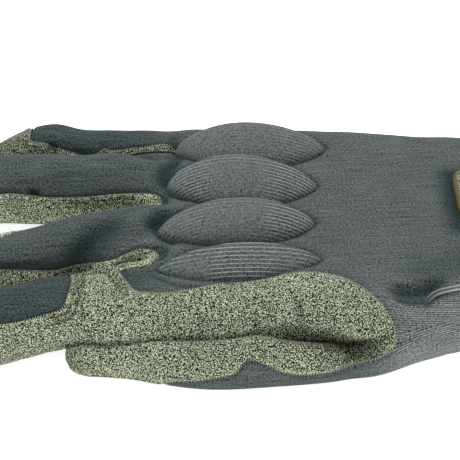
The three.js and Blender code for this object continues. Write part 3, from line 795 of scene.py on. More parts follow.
# Creases and ridges that run along the cloth: places in plan, how far they reach aside,
# how far they stand proud, and how much painted shade darkens the cloth there (below zero, painted light on
# a ridge)
Crease = namedtuple("Crease", "path reach rise shade")
CREASES = [
    # Hollows round the left ends of the pads over the ring and middle knuckles
    Crease([(-16.6, 28), (-18.0, 21), (-19.2, 12), (-19.8, 7.5), (-18.6, 4.8)], 2.6, -3.0, 1.9),
    Crease([(-20.0, 8.0), (-18.6, 4.0), (-15.7, 1.2), (-12.6, -2.0)], 1.0, -1.0, 1.3),
    Crease([(-17.6, -8.0), (-20.3, -12.8), (-22.3, -16.5), (-21.6, -18.8)], 2.5, -3.0, 1.9),
    Crease([(-22.0, -17.0), (-20.6, -19.6), (-18.4, -21.2), (-15.3, -24.4)], 1.0, -1.0, 1.3),
    Crease([(-15.3, 37.5), (-18.0, 33.0), (-17.0, 29.0), (-13.0, 26.0)], 1.6, -1.2, 0.9),
    Crease([(-24.0, -36.5), (-19.6, -40.8), (-16.2, -43.2), (-11.1, -45.0), (-7.0, -44.4)], 0.8, -0.8, 1.0),
    # Beside the ends of the strips
    Crease([(-21.0, 5.0), (-20.0, 0.5), (-20.4, -6.0)], 1.7, -1.3, 1.1),
    Crease([(-20.6, -22.5), (-19.4, -27.5), (-20.8, -32.0)], 1.7, -1.3, 1.2),
    # Valley and ridge across the middle finger, and the shade along its lower side
    Crease([(-31.0, -12.0), (-36.0, -16.4), (-40.4, -20.4), (-44.6, -23.6), (-50.0, -26.4)], 4.2, -3.2, 1.1),
    Crease([(-43.0, -22.6), (-47.2, -24.1), (-56.5, -25.9), (-66.5, -26.9), (-82.0, -28.5)], 2.0, -1.0, 0.6),
    Crease([(-42.0, -24.2), (-34.3, -22.4), (-29.1, -21.4), (-24.0, -21.2), (-18.0, -23.8)], 2.2, 2.0, -0.5),
    Crease([(-82.0, -26.2), (-66.6, -25.0), (-55.1, -24.2), (-49.4, -23.0)], 0.5, 0.3, -0.35),
    # The little finger's fold over its joint
    Crease([(-60.0, 35.4), (-57.4, 36.2), (-55.0, 35.6), (-51.5, 33.4)], 0.9, 0.9, -0.6),
    Crease([(-58.0, 33.0), (-56.4, 32.2), (-54.2, 31.0)], 0.9, -1.6, 1.8),
    # The ring finger's dent at its seam, and a light line along it
    Crease([(-61.8, 9.2), (-60.2, 8.6), (-58.2, 8.5)], 1.1, -1.8, 1.7),
    Crease([(-47.0, 15.6), (-38.3, 14.2), (-31.0, 12.6)], 0.5, 0.3, -0.35),
    # Pocket where the piping starts
    Crease([(43.0, -45.0), (47.5, -46.0), (52.5, -46.2), (57.0, -44.6), (61.0, -42.0)], 2.4, -2.4, 1.4),
    Crease([(45.0, -49.0), (49.5, -48.6), (55.0, -48.4)], 0.7, -1.2, 1.3),
    # Broad shade between the pocket and the tab
    Crease([(46.0, -41.0), (56.0, -38.0), (68.0, -34.0), (80.0, -31.0)], 6.0, -0.5, 0.45),
    # Crease and ridge of the saddle over the thumb
    Crease([(17.6, -48.5), (19.4, -52.7), (20.6, -55.5)], 0.9, -0.9, 0.4),
    Crease([(15.0, -48.5), (16.8, -52.7), (18.0, -55.5)], 1.1, 0.7, -0.1),
]
# Points along a crease, the share of them over which an end fades, how faint it starts,
# and how many reaches round a crease are looked at
CREASE_STEPS = 60
CREASE_TAPER = 0.3
CREASE_TIP = -0.2
CREASE_MARGIN = 2.5
# Slow waves of slack cloth: how long they are along x and y, how high, and where they start
WAVES = [(37.0, 29.0, 0.16, 0.4), (23.0, 41.0, 0.12, 2.1), (15.0, 19.0, 0.06, 4.4)]
WAVE_HEIGHT = (6, 16)
# A height over the glove, and the steps in which a point falls from there onto it
ABOVE_GLOVE = 30.0
FALL_ROUNDS = 8


def hump_rise(points):
    """How far the humps of the table stand proud."""
    rise = np.zeros(len(points))
    for hump in HUMPS:
        turn = math.radians(hump.turn)
        x, y = points[:, 0] - hump.x, points[:, 1] - hump.y
        along = (x * math.cos(turn) + y * math.sin(turn)) / hump.along
        across = (y * math.cos(turn) - x * math.sin(turn)) / hump.across
        up = (points[:, 2] - hump.z) / hump.up
        rise += hump.rise * np.exp(-(along**2) - across**2 - up**2)
    return rise


def height_over(places):
    """Height of the glove's smooth back at places in plan."""
    z = np.full(len(places), ABOVE_GLOVE)
    for _ in range(FALL_ROUNDS):
        z = z - glove_distance(places[:, 0], places[:, 1], z)
    return z


def crease_path(crease):
    """Places along a crease, on the glove's smooth back."""
    places = even_path(crease.path, CREASE_STEPS)
    return np.column_stack([places, height_over(places)])


def crease_profiles(points):
    """For each crease: the crease, and its share at each point, 1 along its middle."""
    for crease in CREASES:
        path = crease_path(crease)
        margin = CREASE_MARGIN * crease.reach
        near = ((points > path.min(axis=0) - margin) & (points < path.max(axis=0) + margin)).all(axis=1)
        share = np.zeros(len(points))
        distance, number = nearest(points[near], path)
        ends = np.minimum(number, CREASE_STEPS - 1 - number) / (CREASE_TAPER * CREASE_STEPS)
        share[near] = bell(distance, crease.reach) * smooth_step(ends, CREASE_TIP, 1)
        yield crease, share


def fold_rise(points):
    """How far humps and creases of the tables stand proud."""
    rise = hump_rise(points)
    for crease, share in crease_profiles(points):
        rise += crease.rise * share
    return rise


def wave_rise(points):
    """How far the slow waves stand proud."""
    rise = np.zeros(len(points))
    for length, width, height, start in WAVES:
        angle = 2 * math.pi * (points[:, 0] / length + points[:, 1] / width) + start
        rise += height * np.sin(angle) * smooth_step(points[:, 2], *WAVE_HEIGHT)
    return rise


def pad_middle(pad, x):
    """The y of a pad's middle line at x."""
    return pad.y + pad.drift * (x - pad.x)


def pad_lens(pad, x):
    """1 at the widest place of a lens, and a least share at its tips."""
    return np.maximum(1 - ((x - pad.x) / np.where(x < pad.x, pad.front, pad.back)) ** 2, LENS_TIP)


def pad_sides(number, x):
    """For the far and near side of a pad: its width at x as a whole lens, and as its neighbour cuts it."""
    pad = PADS[number]
    sides = []
    for width, other in ((pad.far, number - 1), (pad.near, number + 1)):
        whole = width * pad_lens(pad, x) ** PAD_END_POWER
        room = np.inf
        if 0 <= other < len(PADS):
            room = (np.abs(pad_middle(PADS[other], x) - pad_middle(pad, x)) - PAD_GAP) / 2
        sides.append((whole, np.minimum(whole, room)))
    return sides


def pad_distance(x, y):
    """Distance from the nearest pad's outline in plan, negative under a pad."""
    closest = np.full(len(x), FAR_AWAY)
    for number, pad in enumerate(PADS):
        (_, far), (_, near) = pad_sides(number, x)
        beyond = np.maximum(pad.x - pad.front - x, x - pad.x - pad.back)
        offset = y - pad_middle(pad, x)
        aside = np.where(offset > 0, offset - far, -offset - near)
        past_tip = np.hypot(np.maximum(beyond, 0), np.maximum(aside, 0))
        closest = np.minimum(closest, np.where(beyond > 0, past_tip, PAD_MOAT_SLANT * aside))
    return closest


def beside_pads(points, reach):
    """1 at the pads' feet, and fading away past a reach."""
    return bell(np.maximum(pad_distance(points[:, 0], points[:, 1]), 0), reach)


def web_share(x):
    """1 along the thumb's web, 0 away from it."""
    return bell(((x - WEB_MIDDLE) / WEB_HALF) ** 2, 1)


def beside_crease(points):
    """Distances to the thumb and to the roll over it."""
    return tube_distance(THUMB, *points.T), tube_distance(SADDLE_ROLL, *points.T)


def crease_relief(points):
    """The thumb sinks under the lip of the hand's side, and the lip stands out over it."""
    x, y, _ = points.T
    thumb, roll = beside_crease(points)
    web = web_share(x)
    sink = between(CREASE_SINK, WEB_SINK, web)
    reach = between(CREASE_SINK_REACH, WEB_SINK_REACH, web)
    sunk = -sink * bell(np.maximum(roll, 0), reach) * smooth_step(roll - thumb, 0, CREASE_SIDE)
    lip = LIP_RISE * bell(thumb - LIP_PLACE, LIP_REACH) * smooth_step(thumb - roll, 0, CREASE_SIDE)
    return (sunk + lip) * (1 - smooth_step(x, *CREASE_END)) * smooth_step(-y, *THUMB_SIDE)


def hem_groove(points, edge):
    """1 in the grooves just inside the borders of the web patch, 0 away from them."""
    x, z = points[:, 0], points[:, 2]
    patch = smooth_step(x, *WEB_PATCH_LEFT) * (1 - smooth_step(x, *WEB_PATCH_RIGHT))
    patch *= smooth_step(z, *WEB_PATCH_LOW)
    return patch * sum(bell(edge - place, HEM_GROOVE_REACH) for place in HEM_GROOVE_PLACES)


def relief(points, seam, edge, heathered):
    """How far the cloth stands proud of the smooth shell."""
    x, _, z = points.T
    rise = -JOIN_DIP * bell(edge, JOIN_DIP_REACH)
    if heathered:
        rise += ROLL_RISE * bell(seam - ROLL_PLACE, ROLL_REACH)
        rise -= HEM_GROOVE * hem_groove(points, edge)
    else:
        rise -= SEAM_DIP * bell(seam, SEAM_DIP_REACH)
    rise -= PAD_MOAT * beside_pads(points, PAD_MOAT_REACH) * smooth_step(z, *PAD_MOAT_HEIGHT)
    rise -= CUFF_HEM_GROOVE * bell(x - (CUFF_END - CUFF_HEM), CUFF_HEM_REACH)
    rise += crease_relief(points) + fold_rise(points) + wave_rise(points)
    return np.where(rise > 0, rise * smooth_step(z, *FLOOR_HEIGHT), rise)


# Coordinates that follow the cloth

# The coordinates start anew along a line under the glove, at y = 0 and below this height
CUT_LINE_HEIGHT = 10.0
# Most rounds of the search, the least weight of an edge, and what is left when it ends
GIRTH_ROUNDS = 350
LEAST_WEIGHT = 0.02
SMALL_ENOUGH = 1e-6


def unique_edges(triangles):
    """Every side of the triangles once."""
    return np.unique(np.sort(all_edges(triangles), axis=1), axis=0)


def girth(points, outward, triangles):
    """Distance across the ribs of the knit, which run along x, spread evenly over a panel."""
    # Along each edge the value wants to grow as far as the edge leads across the ribs;
    # conjugate gradients find the values that come nearest to it
    across = np.stack([np.zeros(len(points)), outward[:, 2], -outward[:, 1]], axis=1)
    start, end = unique_edges(triangles).T
    crossing = (points[start, 1] < 0) != (points[end, 1] < 0)
    kept = ~(crossing & (points[start, 2] < CUT_LINE_HEIGHT))
    start, end = start[kept], end[kept]
    middle = (across[start] + across[end]) / 2
    weight = (middle**2).sum(axis=1) + LEAST_WEIGHT
    want = (middle * (points[end] - points[start])).sum(axis=1)
    count = len(points)

    def spread(flow):
        """What flows along the edges, summed at the points."""
        return np.bincount(end, flow, count) - np.bincount(start, flow, count)

    value = points[:, 1].copy()
    rest = spread(weight * (want - value[end] + value[start]))
    course = rest.copy()
    size = rest @ rest
    for _ in range(GIRTH_ROUNDS):
        if size < SMALL_ENOUGH:
            break
        pull = spread(weight * (course[end] - course[start]))
        step = size / (course @ pull)
        value += step * course
        rest -= step * pull
        fresh = rest @ rest
        course = rest + fresh / size * course
        size = fresh
    return value


# Places near the cloth that the binding passes
PIPING_PATH = [
    (54, -48.0, 20.2), (57, -46.6, 22.6), (62, -45.6, 23.8), (74, -44.4, 24.0),
    (90, -44.1, 23.6), (108, -45.0, 24.4), (125.5, -46.0, 25.2),
]
PIPING_STEPS = 150


def piping_path():
    """The binding's middle line on the cloth, from the pocket at the thumb to the cuff's end."""
    return onto_surface(even_path(PIPING_PATH, PIPING_STEPS))


# Tones of the cloth: painted shade in hollows and creases, round the pads, the tab and the piping, under the
# thumb, and over the fingers, most along the outer sides of the index and little fingers; lighter round the
# wrist
# Painted shade over the fingers, fading out past their roots, and more along the outer sides of the index
# and little fingers
FINGER_TONE = 0.8
FINGER_ROOTS = (-30, -14)
FINGER_SIDE_SHADE = 0.42
INDEX_SIDE = (30, 36)
LITTLE_SIDE = (28, 32)
NEAR_WRIST_TONE = 1.85
NEAR_WRIST_START = (34, 52)
NEAR_WRIST_SIDE = (38, 46)
UNDER_THUMB_SHADE = 0.3
UNDER_THUMB_HEIGHT = (2, 12)
UNDER_THUMB_SIDE = (44, 50)
UNDER_THUMB_END = (30, 50)
BACK_HEIGHT = (16, 22)
# Painted shade in the humps' hollows, for each millimetre of their depth
HUMP_SHADE = 0.2
PAD_SHADE = 0.85
PAD_SHADE_REACH = 1.0
PAD_SHADE_END = (35, 39)
PIPING_SHADE = 0.6
PIPING_SHADE_REACH = 1.3
TAB = {"left": 67.0, "right": 104.0, "far": 10.0, "near": -18.0}
TAB_SHADE = 0.85
TAB_SHADE_REACH = 4.0
CREASE_SHADE = 0.85
CREASE_SHADE_REACH = 0.75
WEB_SHADE = 0.92
WEB_SHADE_REACH = 5.5
ON_THUMB = 1.0
RIM_LIGHT = 0.15
RIM_LIGHT_REACH = 0.8
HEM_GROOVE_SHADE = 0.65
TIP_CAP_TONE = 0.58
TIP_CAP_SIDE = (24, 29)


def hollow_shade(points):
    """The tone that humps and creases of the tables give to the cloth: painted shade in their hollows,
    painted light on ridges.
    """
    depth = HUMP_SHADE * np.minimum(hump_rise(points), 0)
    for crease, share in crease_profiles(points):
        depth -= crease.shade * share
    return np.exp(depth)


def beside_tab(x, y):
    """1 at the wrist tab, and fading away round it."""
    aside = np.maximum(np.maximum(TAB["left"] - x, x - TAB["right"]), 0)
    ahead = np.maximum(np.maximum(TAB["near"] - y, y - TAB["far"]), 0)
    return bell(np.hypot(aside, ahead), TAB_SHADE_REACH)


def knit_tone(points):
    """How light the knit is at points, with painted shade over the fingers, round the pads, the tab and the
    piping, under the thumb and in hollows.
    """
    x, y, z = points.T
    back = smooth_step(z, *BACK_HEIGHT)
    pads = beside_pads(points, PAD_SHADE_REACH) * back * (1 - smooth_step(-y, *PAD_SHADE_END))
    # Painted shade over the fingers, and more along the outer sides of the index and little fingers
    finger = 1 - smooth_step(x, *FINGER_ROOTS)
    finger_sides = finger * (smooth_step(-y, *INDEX_SIDE) + smooth_step(y, *LITTLE_SIDE))
    wrist = smooth_step(x, *NEAR_WRIST_START) * smooth_step(-y, *NEAR_WRIST_SIDE)
    low = 1 - smooth_step(z, *UNDER_THUMB_HEIGHT)
    low *= smooth_step(-y, *UNDER_THUMB_SIDE) * (1 - smooth_step(x, *UNDER_THUMB_END))
    piping = bell(nearest_distance(points, piping_path()), PIPING_SHADE_REACH)
    tone = between(1, FINGER_TONE, finger) * (1 - FINGER_SIDE_SHADE * finger_sides)
    tone *= between(1, NEAR_WRIST_TONE, wrist) * (1 - UNDER_THUMB_SHADE * low)
    tone *= (1 - PAD_SHADE * pads) * (1 - TAB_SHADE * beside_tab(x, y) * back)
    return tone * (1 - PIPING_SHADE * piping) * hollow_shade(points)


def heather_tone(points, seam, edge):
    """How light the heathered cloth is at points: painted shade along the crease over the thumb, under the
    web's lip and in the hem's grooves, and painted light beside the seams.
    """
    x, y, _ = points.T
    thumb, roll = beside_crease(points)
    on_thumb = smooth_step(roll - thumb, 0, ON_THUMB) * smooth_step(-y, *THUMB_SIDE)
    over_roll = np.maximum(roll, 0)
    line = CREASE_SHADE * bell(over_roll, CREASE_SHADE_REACH) * (1 - smooth_step(x, *CREASE_END))
    under = WEB_SHADE * bell(over_roll, WEB_SHADE_REACH) * web_share(x)
    tone = 1 - on_thumb * np.maximum(line, under)
    tone *= 1 + RIM_LIGHT * bell(seam, RIM_LIGHT_REACH)
    tone *= 1 - HEM_GROOVE_SHADE * hem_groove(points, edge)
    tone *= between(1, TIP_CAP_TONE, smooth_step(y, *TIP_CAP_SIDE))
    return tone * hollow_shade(points)


# Meshes


# The underside stands this far over the floor
FLOOR_CLEARANCE = 0.02


def store(mesh, name, values):
    """A value for each point of a mesh, for its material to read."""
    mesh.attributes.new(name, "FLOAT", "POINT").data.foreach_set("value", values.astype(np.float32))


def mesh_from(name, points, faces, weave=None, tone=None):
    """A mesh, with a UV map that follows its cloth and a tone at each point where they are given."""
    mesh = bpy.data.meshes.new(name)
    mesh.from_pydata(points.tolist(), [], faces.tolist())
    mesh.update()
    if weave is not None:
        layer = mesh.uv_layers.new(name="weave")
        layer.data.foreach_set("uv", weave[faces.ravel()].astype(np.float32).ravel())
    if tone is not None:
        store(mesh, "tone", tone)
    return mesh


def thickened(points, outward, triangles, wall):
    """Points and triangles of a sheet with a wall, closed round its edges."""
    count = len(points)
    edges = all_edges(triangles)
    _, first, uses = np.unique(edge_keys(edges, count), return_index=True, return_counts=True)
    start, end = edges[first[uses == 1]].T
    rim_one = np.stack([end, start, start + count], axis=1)
    rim_two = np.stack([end, start + count, end + count], axis=1)
    inner = triangles[:, ::-1] + count
    faces = np.concatenate([triangles, inner, rim_one, rim_two])
    return np.concatenate([points, points - wall * outward]), faces


def panel_mesh(name, wall):
    """One panel of cloth as a closed mesh, in metres."""
    parts = shell()
    used, compact = np.unique(parts["panels"][name], return_inverse=True)
    triangles = compact.reshape(-1, 3)
    points, outward, seam, edge = (parts[key][used] for key in ("points", "outward", "seam", "edge"))
    heathered = name in HEATHERED
    tone = heather_tone(points, seam, edge) if heathered else knit_tone(points)
    round_glove = points[:, 1] if heathered else girth(points, outward, triangles)
    weave = np.stack([points[:, 0], round_glove], axis=1) * MM
    points = points + relief(points, seam, edge, heathered)[:, None] * outward
    points[:, 2] = np.maximum(points[:, 2], FLOOR_CLEARANCE)
    points, faces = thickened(points, outward, triangles, wall)
    points[:, 2] = np.maximum(points[:, 2], FLOOR_CLEARANCE)
    return mesh_from(name, to_scene(points), faces, np.tile(weave, (2, 1)), np.tile(tone, 2))


def add_object(name, data):
    """A new object in the scene, for a mesh, a lamp or a camera."""
    thing = bpy.data.objects.new(name, data)
    bpy.context.scene.collection.objects.link(thing)
    return thing


def applied(thing):
    """Turns an object's modifiers into its plain mesh."""
    bpy.context.view_layer.update()
    graph = bpy.context.evaluated_depsgraph_get()
    mesh = bpy.data.meshes.new_from_object(thing.evaluated_get(graph))
    thing.modifiers.clear()
    thing.data = mesh


SHARP_ANGLE = math.radians(60)


def finished(node, mesh, material):
    """A finished piece that rides on the glove's body, in place of a node."""
    thing = add_object("cloth_" + node, mesh)
    mesh.shade_smooth()
    mesh.set_sharp_from_angle(angle=SHARP_ANGLE)
    mesh.materials.clear()
    mesh.materials.append(material)
    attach(thing, "root")
    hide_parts(node)
    return thing


# Materials


class Tree:
    """Nodes in the making."""

    def __init__(self, tree):
        self.nodes = tree.nodes
        self.links = tree.links

    def add(self, kind, inputs, **settings):
        """A new node with its settings, and with values or sockets at its inputs."""
        node = self.nodes.new(kind)
        for key, value in settings.items():
            setattr(node, key, value)
        for key, value in inputs.items():
            if isinstance(value, bpy.types.NodeSocket):
                self.links.new(value, node.inputs[key])
            else:
                node.inputs[key].default_value = value
        return node


# Inputs of the two colours of a colour mix, and its output
MIX_COLOURS = (6, 7)
MIX_RESULT = 2


class Recipe(Tree):
    """A node material in the making."""

    def __init__(self, name):
        self.material = bpy.data.materials.new(name)
        self.material.use_nodes = True
        super().__init__(self.material.node_tree)
        self.shader = self.nodes["Principled BSDF"]

    def math(self, operation, first, second=0.0, **settings):
        """The result of an operation on one or two values."""
        inputs = {0: first, 1: second}
        return self.add("ShaderNodeMath", inputs, operation=operation, **settings).outputs[0]

    def swing(self, value, strength, middle=0.0):
        """A value that lies round a half, made to swing round a middle."""
        swung = self.math("MULTIPLY", self.math("SUBTRACT", value, 0.5), strength)
        return self.math("ADD", swung, middle)

    def place(self, scale=(1, 1, 1), weave=False):
        """Object coordinates, or those that follow the cloth, stretched by a scale for each axis."""
        if weave:
            where = self.add("ShaderNodeUVMap", {}, uv_map="weave").outputs["UV"]
        else:
            where = self.add("ShaderNodeTexCoord", {}).outputs["Object"]
        return self.add("ShaderNodeMapping", {"Vector": where, "Scale": scale}).outputs["Vector"]

    def noise(self, pattern, weave=False):
        """The value of a noise, which may follow the cloth."""
        inputs = {"Scale": pattern.scale, "Detail": pattern.detail, "Roughness": pattern.roughness}
        inputs["Vector"] = self.place(pattern.stretch, weave)
        return self.add("ShaderNodeTexNoise", inputs).outputs["Fac"]

    def spread(self, value, factor, least):
        """A value made stronger by a factor, over a least one."""
        return self.math("ADD", self.math("MULTIPLY", value, factor), least)

    def ribs(self, pitch, sharpness):
        """0 to 1 and back every pitch metres across the cloth, with crests narrowed by a power."""
        across = self.add("ShaderNodeSeparateXYZ", {0: self.place(weave=True)}).outputs["Y"]
        turn = self.math("MULTIPLY", across, 2 * math.pi / pitch)
        half = self.math("MULTIPLY", self.math("SINE", turn), 0.5)
        return self.math("POWER", self.math("ADD", half, 0.5), sharpness)

    def ramp(self, factor, stops):
        """A colour for each factor, blended between stops of a position and a colour."""
        node = self.add("ShaderNodeValToRGB", {"Fac": factor})
        elements = node.color_ramp.elements
        while len(elements) < len(stops):
            elements.new(0.5)
        for element, (position, colour) in zip(elements, stops):
            element.position = position
            element.color = (*colour, 1)
        return node.outputs["Color"]

    def mix(self, factor, first, second, **settings):
        """A blend of two colours, each a socket or its three values."""
        inputs = {0: factor}
        for number, colour in zip(MIX_COLOURS, (first, second)):
            inputs[number] = colour if isinstance(colour, bpy.types.NodeSocket) else (*colour, 1)
        node = self.add("ShaderNodeMix", inputs, data_type="RGBA", **settings)
        return node.outputs[MIX_RESULT]

    def stored(self, name):
        """A value stored at the mesh's points."""
        return self.add("ShaderNodeAttribute", {}, attribute_name=name).outputs["Fac"]

    def scaled(self, colour, factor):
        """A colour made lighter or darker by a factor."""
        inputs = {"Vector": colour, "Scale": factor}
        return self.add("ShaderNodeVectorMath", inputs, operation="SCALE").outputs["Vector"]

    def finish(self, colour, height, surface):
        """The finished material, with a colour and a fine height of its surface."""
        bump = {"Height": height, "Strength": surface.bump, "Distance": surface.depth}
        normal = self.add("ShaderNodeBump", bump).outputs["Normal"]
        self.links.new(normal, self.shader.inputs["Normal"])
        self.links.new(colour, self.shader.inputs["Base Color"])
        self.shader.inputs["Roughness"].default_value = surface.roughness
        self.shader.inputs["Specular IOR Level"].default_value = CLOTH_SHINE
        self.shader.inputs["Sheen Weight"].default_value = surface.sheen
        return self.material


# Noise: grains to a metre, how they are stretched, how fine and how rough they are
Noise = namedtuple("Noise", "scale stretch detail roughness", defaults=[(1, 1, 1), 2, 0.5])
# Surface: its roughness and sheen, and how strong and how deep its fine height is, in metres
Surface = namedtuple("Surface", "roughness sheen bump depth", defaults=[0.0003])
CLOTH_SHINE = 0.1

# Knit: how far loops, streaks and patches swing its light round a ground light
KNIT_LOOPS = Noise(1600, (1, 1.1, 1), 1, 0.6)
KNIT_STREAKS = Noise(900, (0.1, 1.25, 1), 1)
KNIT_PATCHES = Noise(55)
KNIT_GROUND = 0.9
LOOP_LIGHT = 3.2
STREAK_LIGHT = 1.1
STREAK_HEIGHT = 0.6
PATCH_LIGHT = 0.25
DARKEST = 0.12
KNIT_SURFACE = Surface(0.88, 0.03, 0.6)
# Rows of loops show where the knit's tone is over a limit, because it is stretched there
ROW_PITCH = 0.00062
ROW_LIGHT = 1.3
OPEN_TONE = 0.98

# Pads: how thin the crests of their ribs are, how much lighter than the ground their painted highlights are,
# and how broken
PAD_LOOPS = Noise(1700, detail=1, roughness=0.6)
PAD_LOOP_LIGHT = 2.4
RIB_PITCH = 0.001
RIB_SHARPNESS = 16
RIB_HIGHLIGHT = 2.4
RIB_TROUGH = 0.1
RIB_BREAKS = Noise(1500, (0.6, 0.5, 1), 1)
RIB_BREAK_LIGHT = 2.2
PAD_SURFACE = Surface(0.86, 0.04, 0.5)

# Heathered cloth: how far the tone moves its grains towards dark or light, where dark, middle and
# light ones begin, how much light the middle ones hold, and the slow change over the cloth
HEATHER_GRAINS = Noise(3100, detail=1)
GRAIN_SHIFT = 0.035
GRAIN_STOPS = (0.483, 0.515, 0.545)
MIDDLE_SHARE = 0.22
HEATHER_PATCHES = Noise(70)
HEATHER_PATCH_LIGHT = (0.5, 0.75)
HEATHER_SURFACE = Surface(0.92, 0.02, 0.7)

# Thread and piping: their twist, and how it changes their light
THREAD_TWIST = Noise(2600, roughness=0.6)
PIPING_TWIST = Noise(1500, roughness=0.6)
TWIST_LIGHT = (0.9, 0.55)
THREAD_SURFACE = Surface(0.8, 0.05, 0.5, 0.0002)


def knit_shade(recipe, colour, deep, light):
    """The knit's colour at the stored tone: deeper and bluer where it is dark."""
    toned = recipe.mix(recipe.stored("tone"), deep, colour, clamp_factor=False)
    return recipe.scaled(toned, recipe.math("MAXIMUM", light, DARKEST))


def knit_material(name, colour, deep):
    """Stretch knit: loops, long streaks along the glove, and open rows where it is stretched."""
    recipe = Recipe(name)
    loops = recipe.noise(KNIT_LOOPS, weave=True)
    streaks = recipe.noise(KNIT_STREAKS, weave=True)
    patches = recipe.math("MULTIPLY", recipe.noise(KNIT_PATCHES), PATCH_LIGHT)
    open_share = recipe.math("SUBTRACT", recipe.stored("tone"), OPEN_TONE, use_clamp=True)
    rows = recipe.swing(recipe.ribs(ROW_PITCH, 1), ROW_LIGHT)
    light = recipe.math("MULTIPLY", rows, open_share)
    for part in (recipe.swing(loops, LOOP_LIGHT, KNIT_GROUND), recipe.swing(streaks, STREAK_LIGHT), patches):
        light = recipe.math("ADD", light, part)
    height = recipe.math("ADD", loops, recipe.math("MULTIPLY", streaks, STREAK_HEIGHT))
    return recipe.finish(knit_shade(recipe, colour, deep, light), height, KNIT_SURFACE)


def pad_material(name, colour, deep):
    """The same knit over foam, with painted highlights on the thin crests of its ribs."""
    recipe = Recipe(name)
    loops = recipe.noise(PAD_LOOPS)
    breaks = recipe.swing(recipe.noise(RIB_BREAKS, weave=True), RIB_BREAK_LIGHT, 1)
    crest = recipe.math("SUBTRACT", recipe.ribs(RIB_PITCH, RIB_SHARPNESS), RIB_TROUGH)
    bright = recipe.math("MULTIPLY", recipe.math("MULTIPLY", crest, RIB_HIGHLIGHT), recipe.stored("ribs"))
    bright = recipe.math("MULTIPLY", bright, breaks)
    light = recipe.math("ADD", recipe.swing(loops, PAD_LOOP_LIGHT, KNIT_GROUND), bright)
    return recipe.finish(knit_shade(recipe, colour, deep, light), loops, PAD_SURFACE)


def heather_material(name, light, dark, lift=0.0, bound_edge=None):
    """Melange cloth: light and dark threads mixed in grains, with a bound edge where one is given."""
    recipe = Recipe(name)
    grain = recipe.noise(HEATHER_GRAINS)
    shift = recipe.math("MULTIPLY", recipe.math("SUBTRACT", recipe.stored("tone"), 1), GRAIN_SHIFT)
    mixed = recipe.math("ADD", recipe.math("ADD", grain, shift), lift)
    middle = tuple(between(low, high, MIDDLE_SHARE) for low, high in zip(dark, light))
    shade = recipe.ramp(mixed, list(zip(GRAIN_STOPS, (dark, middle, light))))
    slow = recipe.spread(recipe.noise(HEATHER_PATCHES), *HEATHER_PATCH_LIGHT)
    shade = recipe.scaled(shade, recipe.math("MULTIPLY", slow, recipe.stored("tone")))
    if bound_edge:
        shade = recipe.mix(recipe.stored("bound"), shade, bound_edge)
    return recipe.finish(shade, grain, HEATHER_SURFACE)


def thread_material(name, colour, twist=THREAD_TWIST, toned=False):
    """Sewing thread or piping: one colour with a fine twist in it, darkened by the painted shade of the
    stored tone when toned.
    """
    recipe = Recipe(name)
    strands = recipe.noise(twist)
    light = recipe.spread(strands, *TWIST_LIGHT)
    if toned:
        light = recipe.math("MULTIPLY", light, recipe.stored("tone"))
    return recipe.finish(recipe.scaled(colour, light), strands, THREAD_SURFACE)


# Properties a user would change


def colour_property(name, description, default):
    """A colour that a user may change."""
    return bpy.props.FloatVectorProperty(
        name=name, description=description, subtype="COLOR", default=default, min=0, max=1
    )


def length_property(name, description, default, most):
    """A length in metres that a user may change."""
    return bpy.props.FloatProperty(
        name=name, description=description, default=default, min=0, max=most, precision=5, unit="LENGTH"
    )


class GloveSettings(bpy.types.PropertyGroup):
    """Sizes and colours of the glove."""

    wall: length_property("Cloth wall", "Thickness of the cloth", 0.0016, 0.003)
    rib_rise: length_property("Pad rib rise", "Height of the ribs of the knuckle pads", 0.00004, 0.0005)
    knit: colour_property("Knit", "Colour of the knit", (0.074, 0.086, 0.085))
    pad_knit: colour_property("Pad knit", "Colour of the knit over the pads", (0.108, 0.121, 0.121))
    deep_knit: colour_property(
        "Deep knit", "Colour that dark places of the knit turn to", (0.006, 0.020, 0.021)
    )
    heather_light: colour_property(
        "Heather light", "Light threads of the heathered cloth", (0.47, 0.515, 0.37)
    )
    heather_dark: colour_property(
        "Heather dark", "Dark threads of the heathered cloth", (0.012, 0.017, 0.007)
    )
    piping: colour_property("Piping", "Colour of the binding at the wrist", (0.28, 0.32, 0.32))
    thread: colour_property("Thread", "Colour of the sewing thread", (0.30, 0.33, 0.24))
    tab_edge: colour_property("Tab edge", "Colour of the wrist tab's bound edge", (0.11, 0.095, 0.03))
    floor: colour_property("Floor", "Colour of the floor", (0.96, 0.96, 0.96))


def chosen_size(name):
    """A size of the settings, in millimetres."""
    return getattr(bpy.context.scene.glove, name) / MM


def chosen_colour(name):
    """A colour of the settings."""
    return tuple(getattr(bpy.context.scene.glove, name))


# How much lighter the strips' light threads are, as painted light that makes up for the shade between the
# fingers, and how far grains are moved towards dark
STRIP_PAINTED_LIGHT = 1.25
STRIP_LIFT = -0.012
SADDLE_LIFT = -0.008


class GLOVE_OT_knit_panels(bpy.types.Operator):
    """Builds the knit back, palm, thumb and wrist panels"""

    bl_idname = "glove.knit_panels"
    bl_label = "Knit panels"

    def execute(self, context):
        material = knit_material("ribbed knit", chosen_colour("knit"), chosen_colour("deep_knit"))
        for name in ("back_panel", "index_back", "palm_panel", "thumb_panel", "wrist_cuff"):
            finished(name, panel_mesh(name, chosen_size("wall")), material)
        return {"FINISHED"}


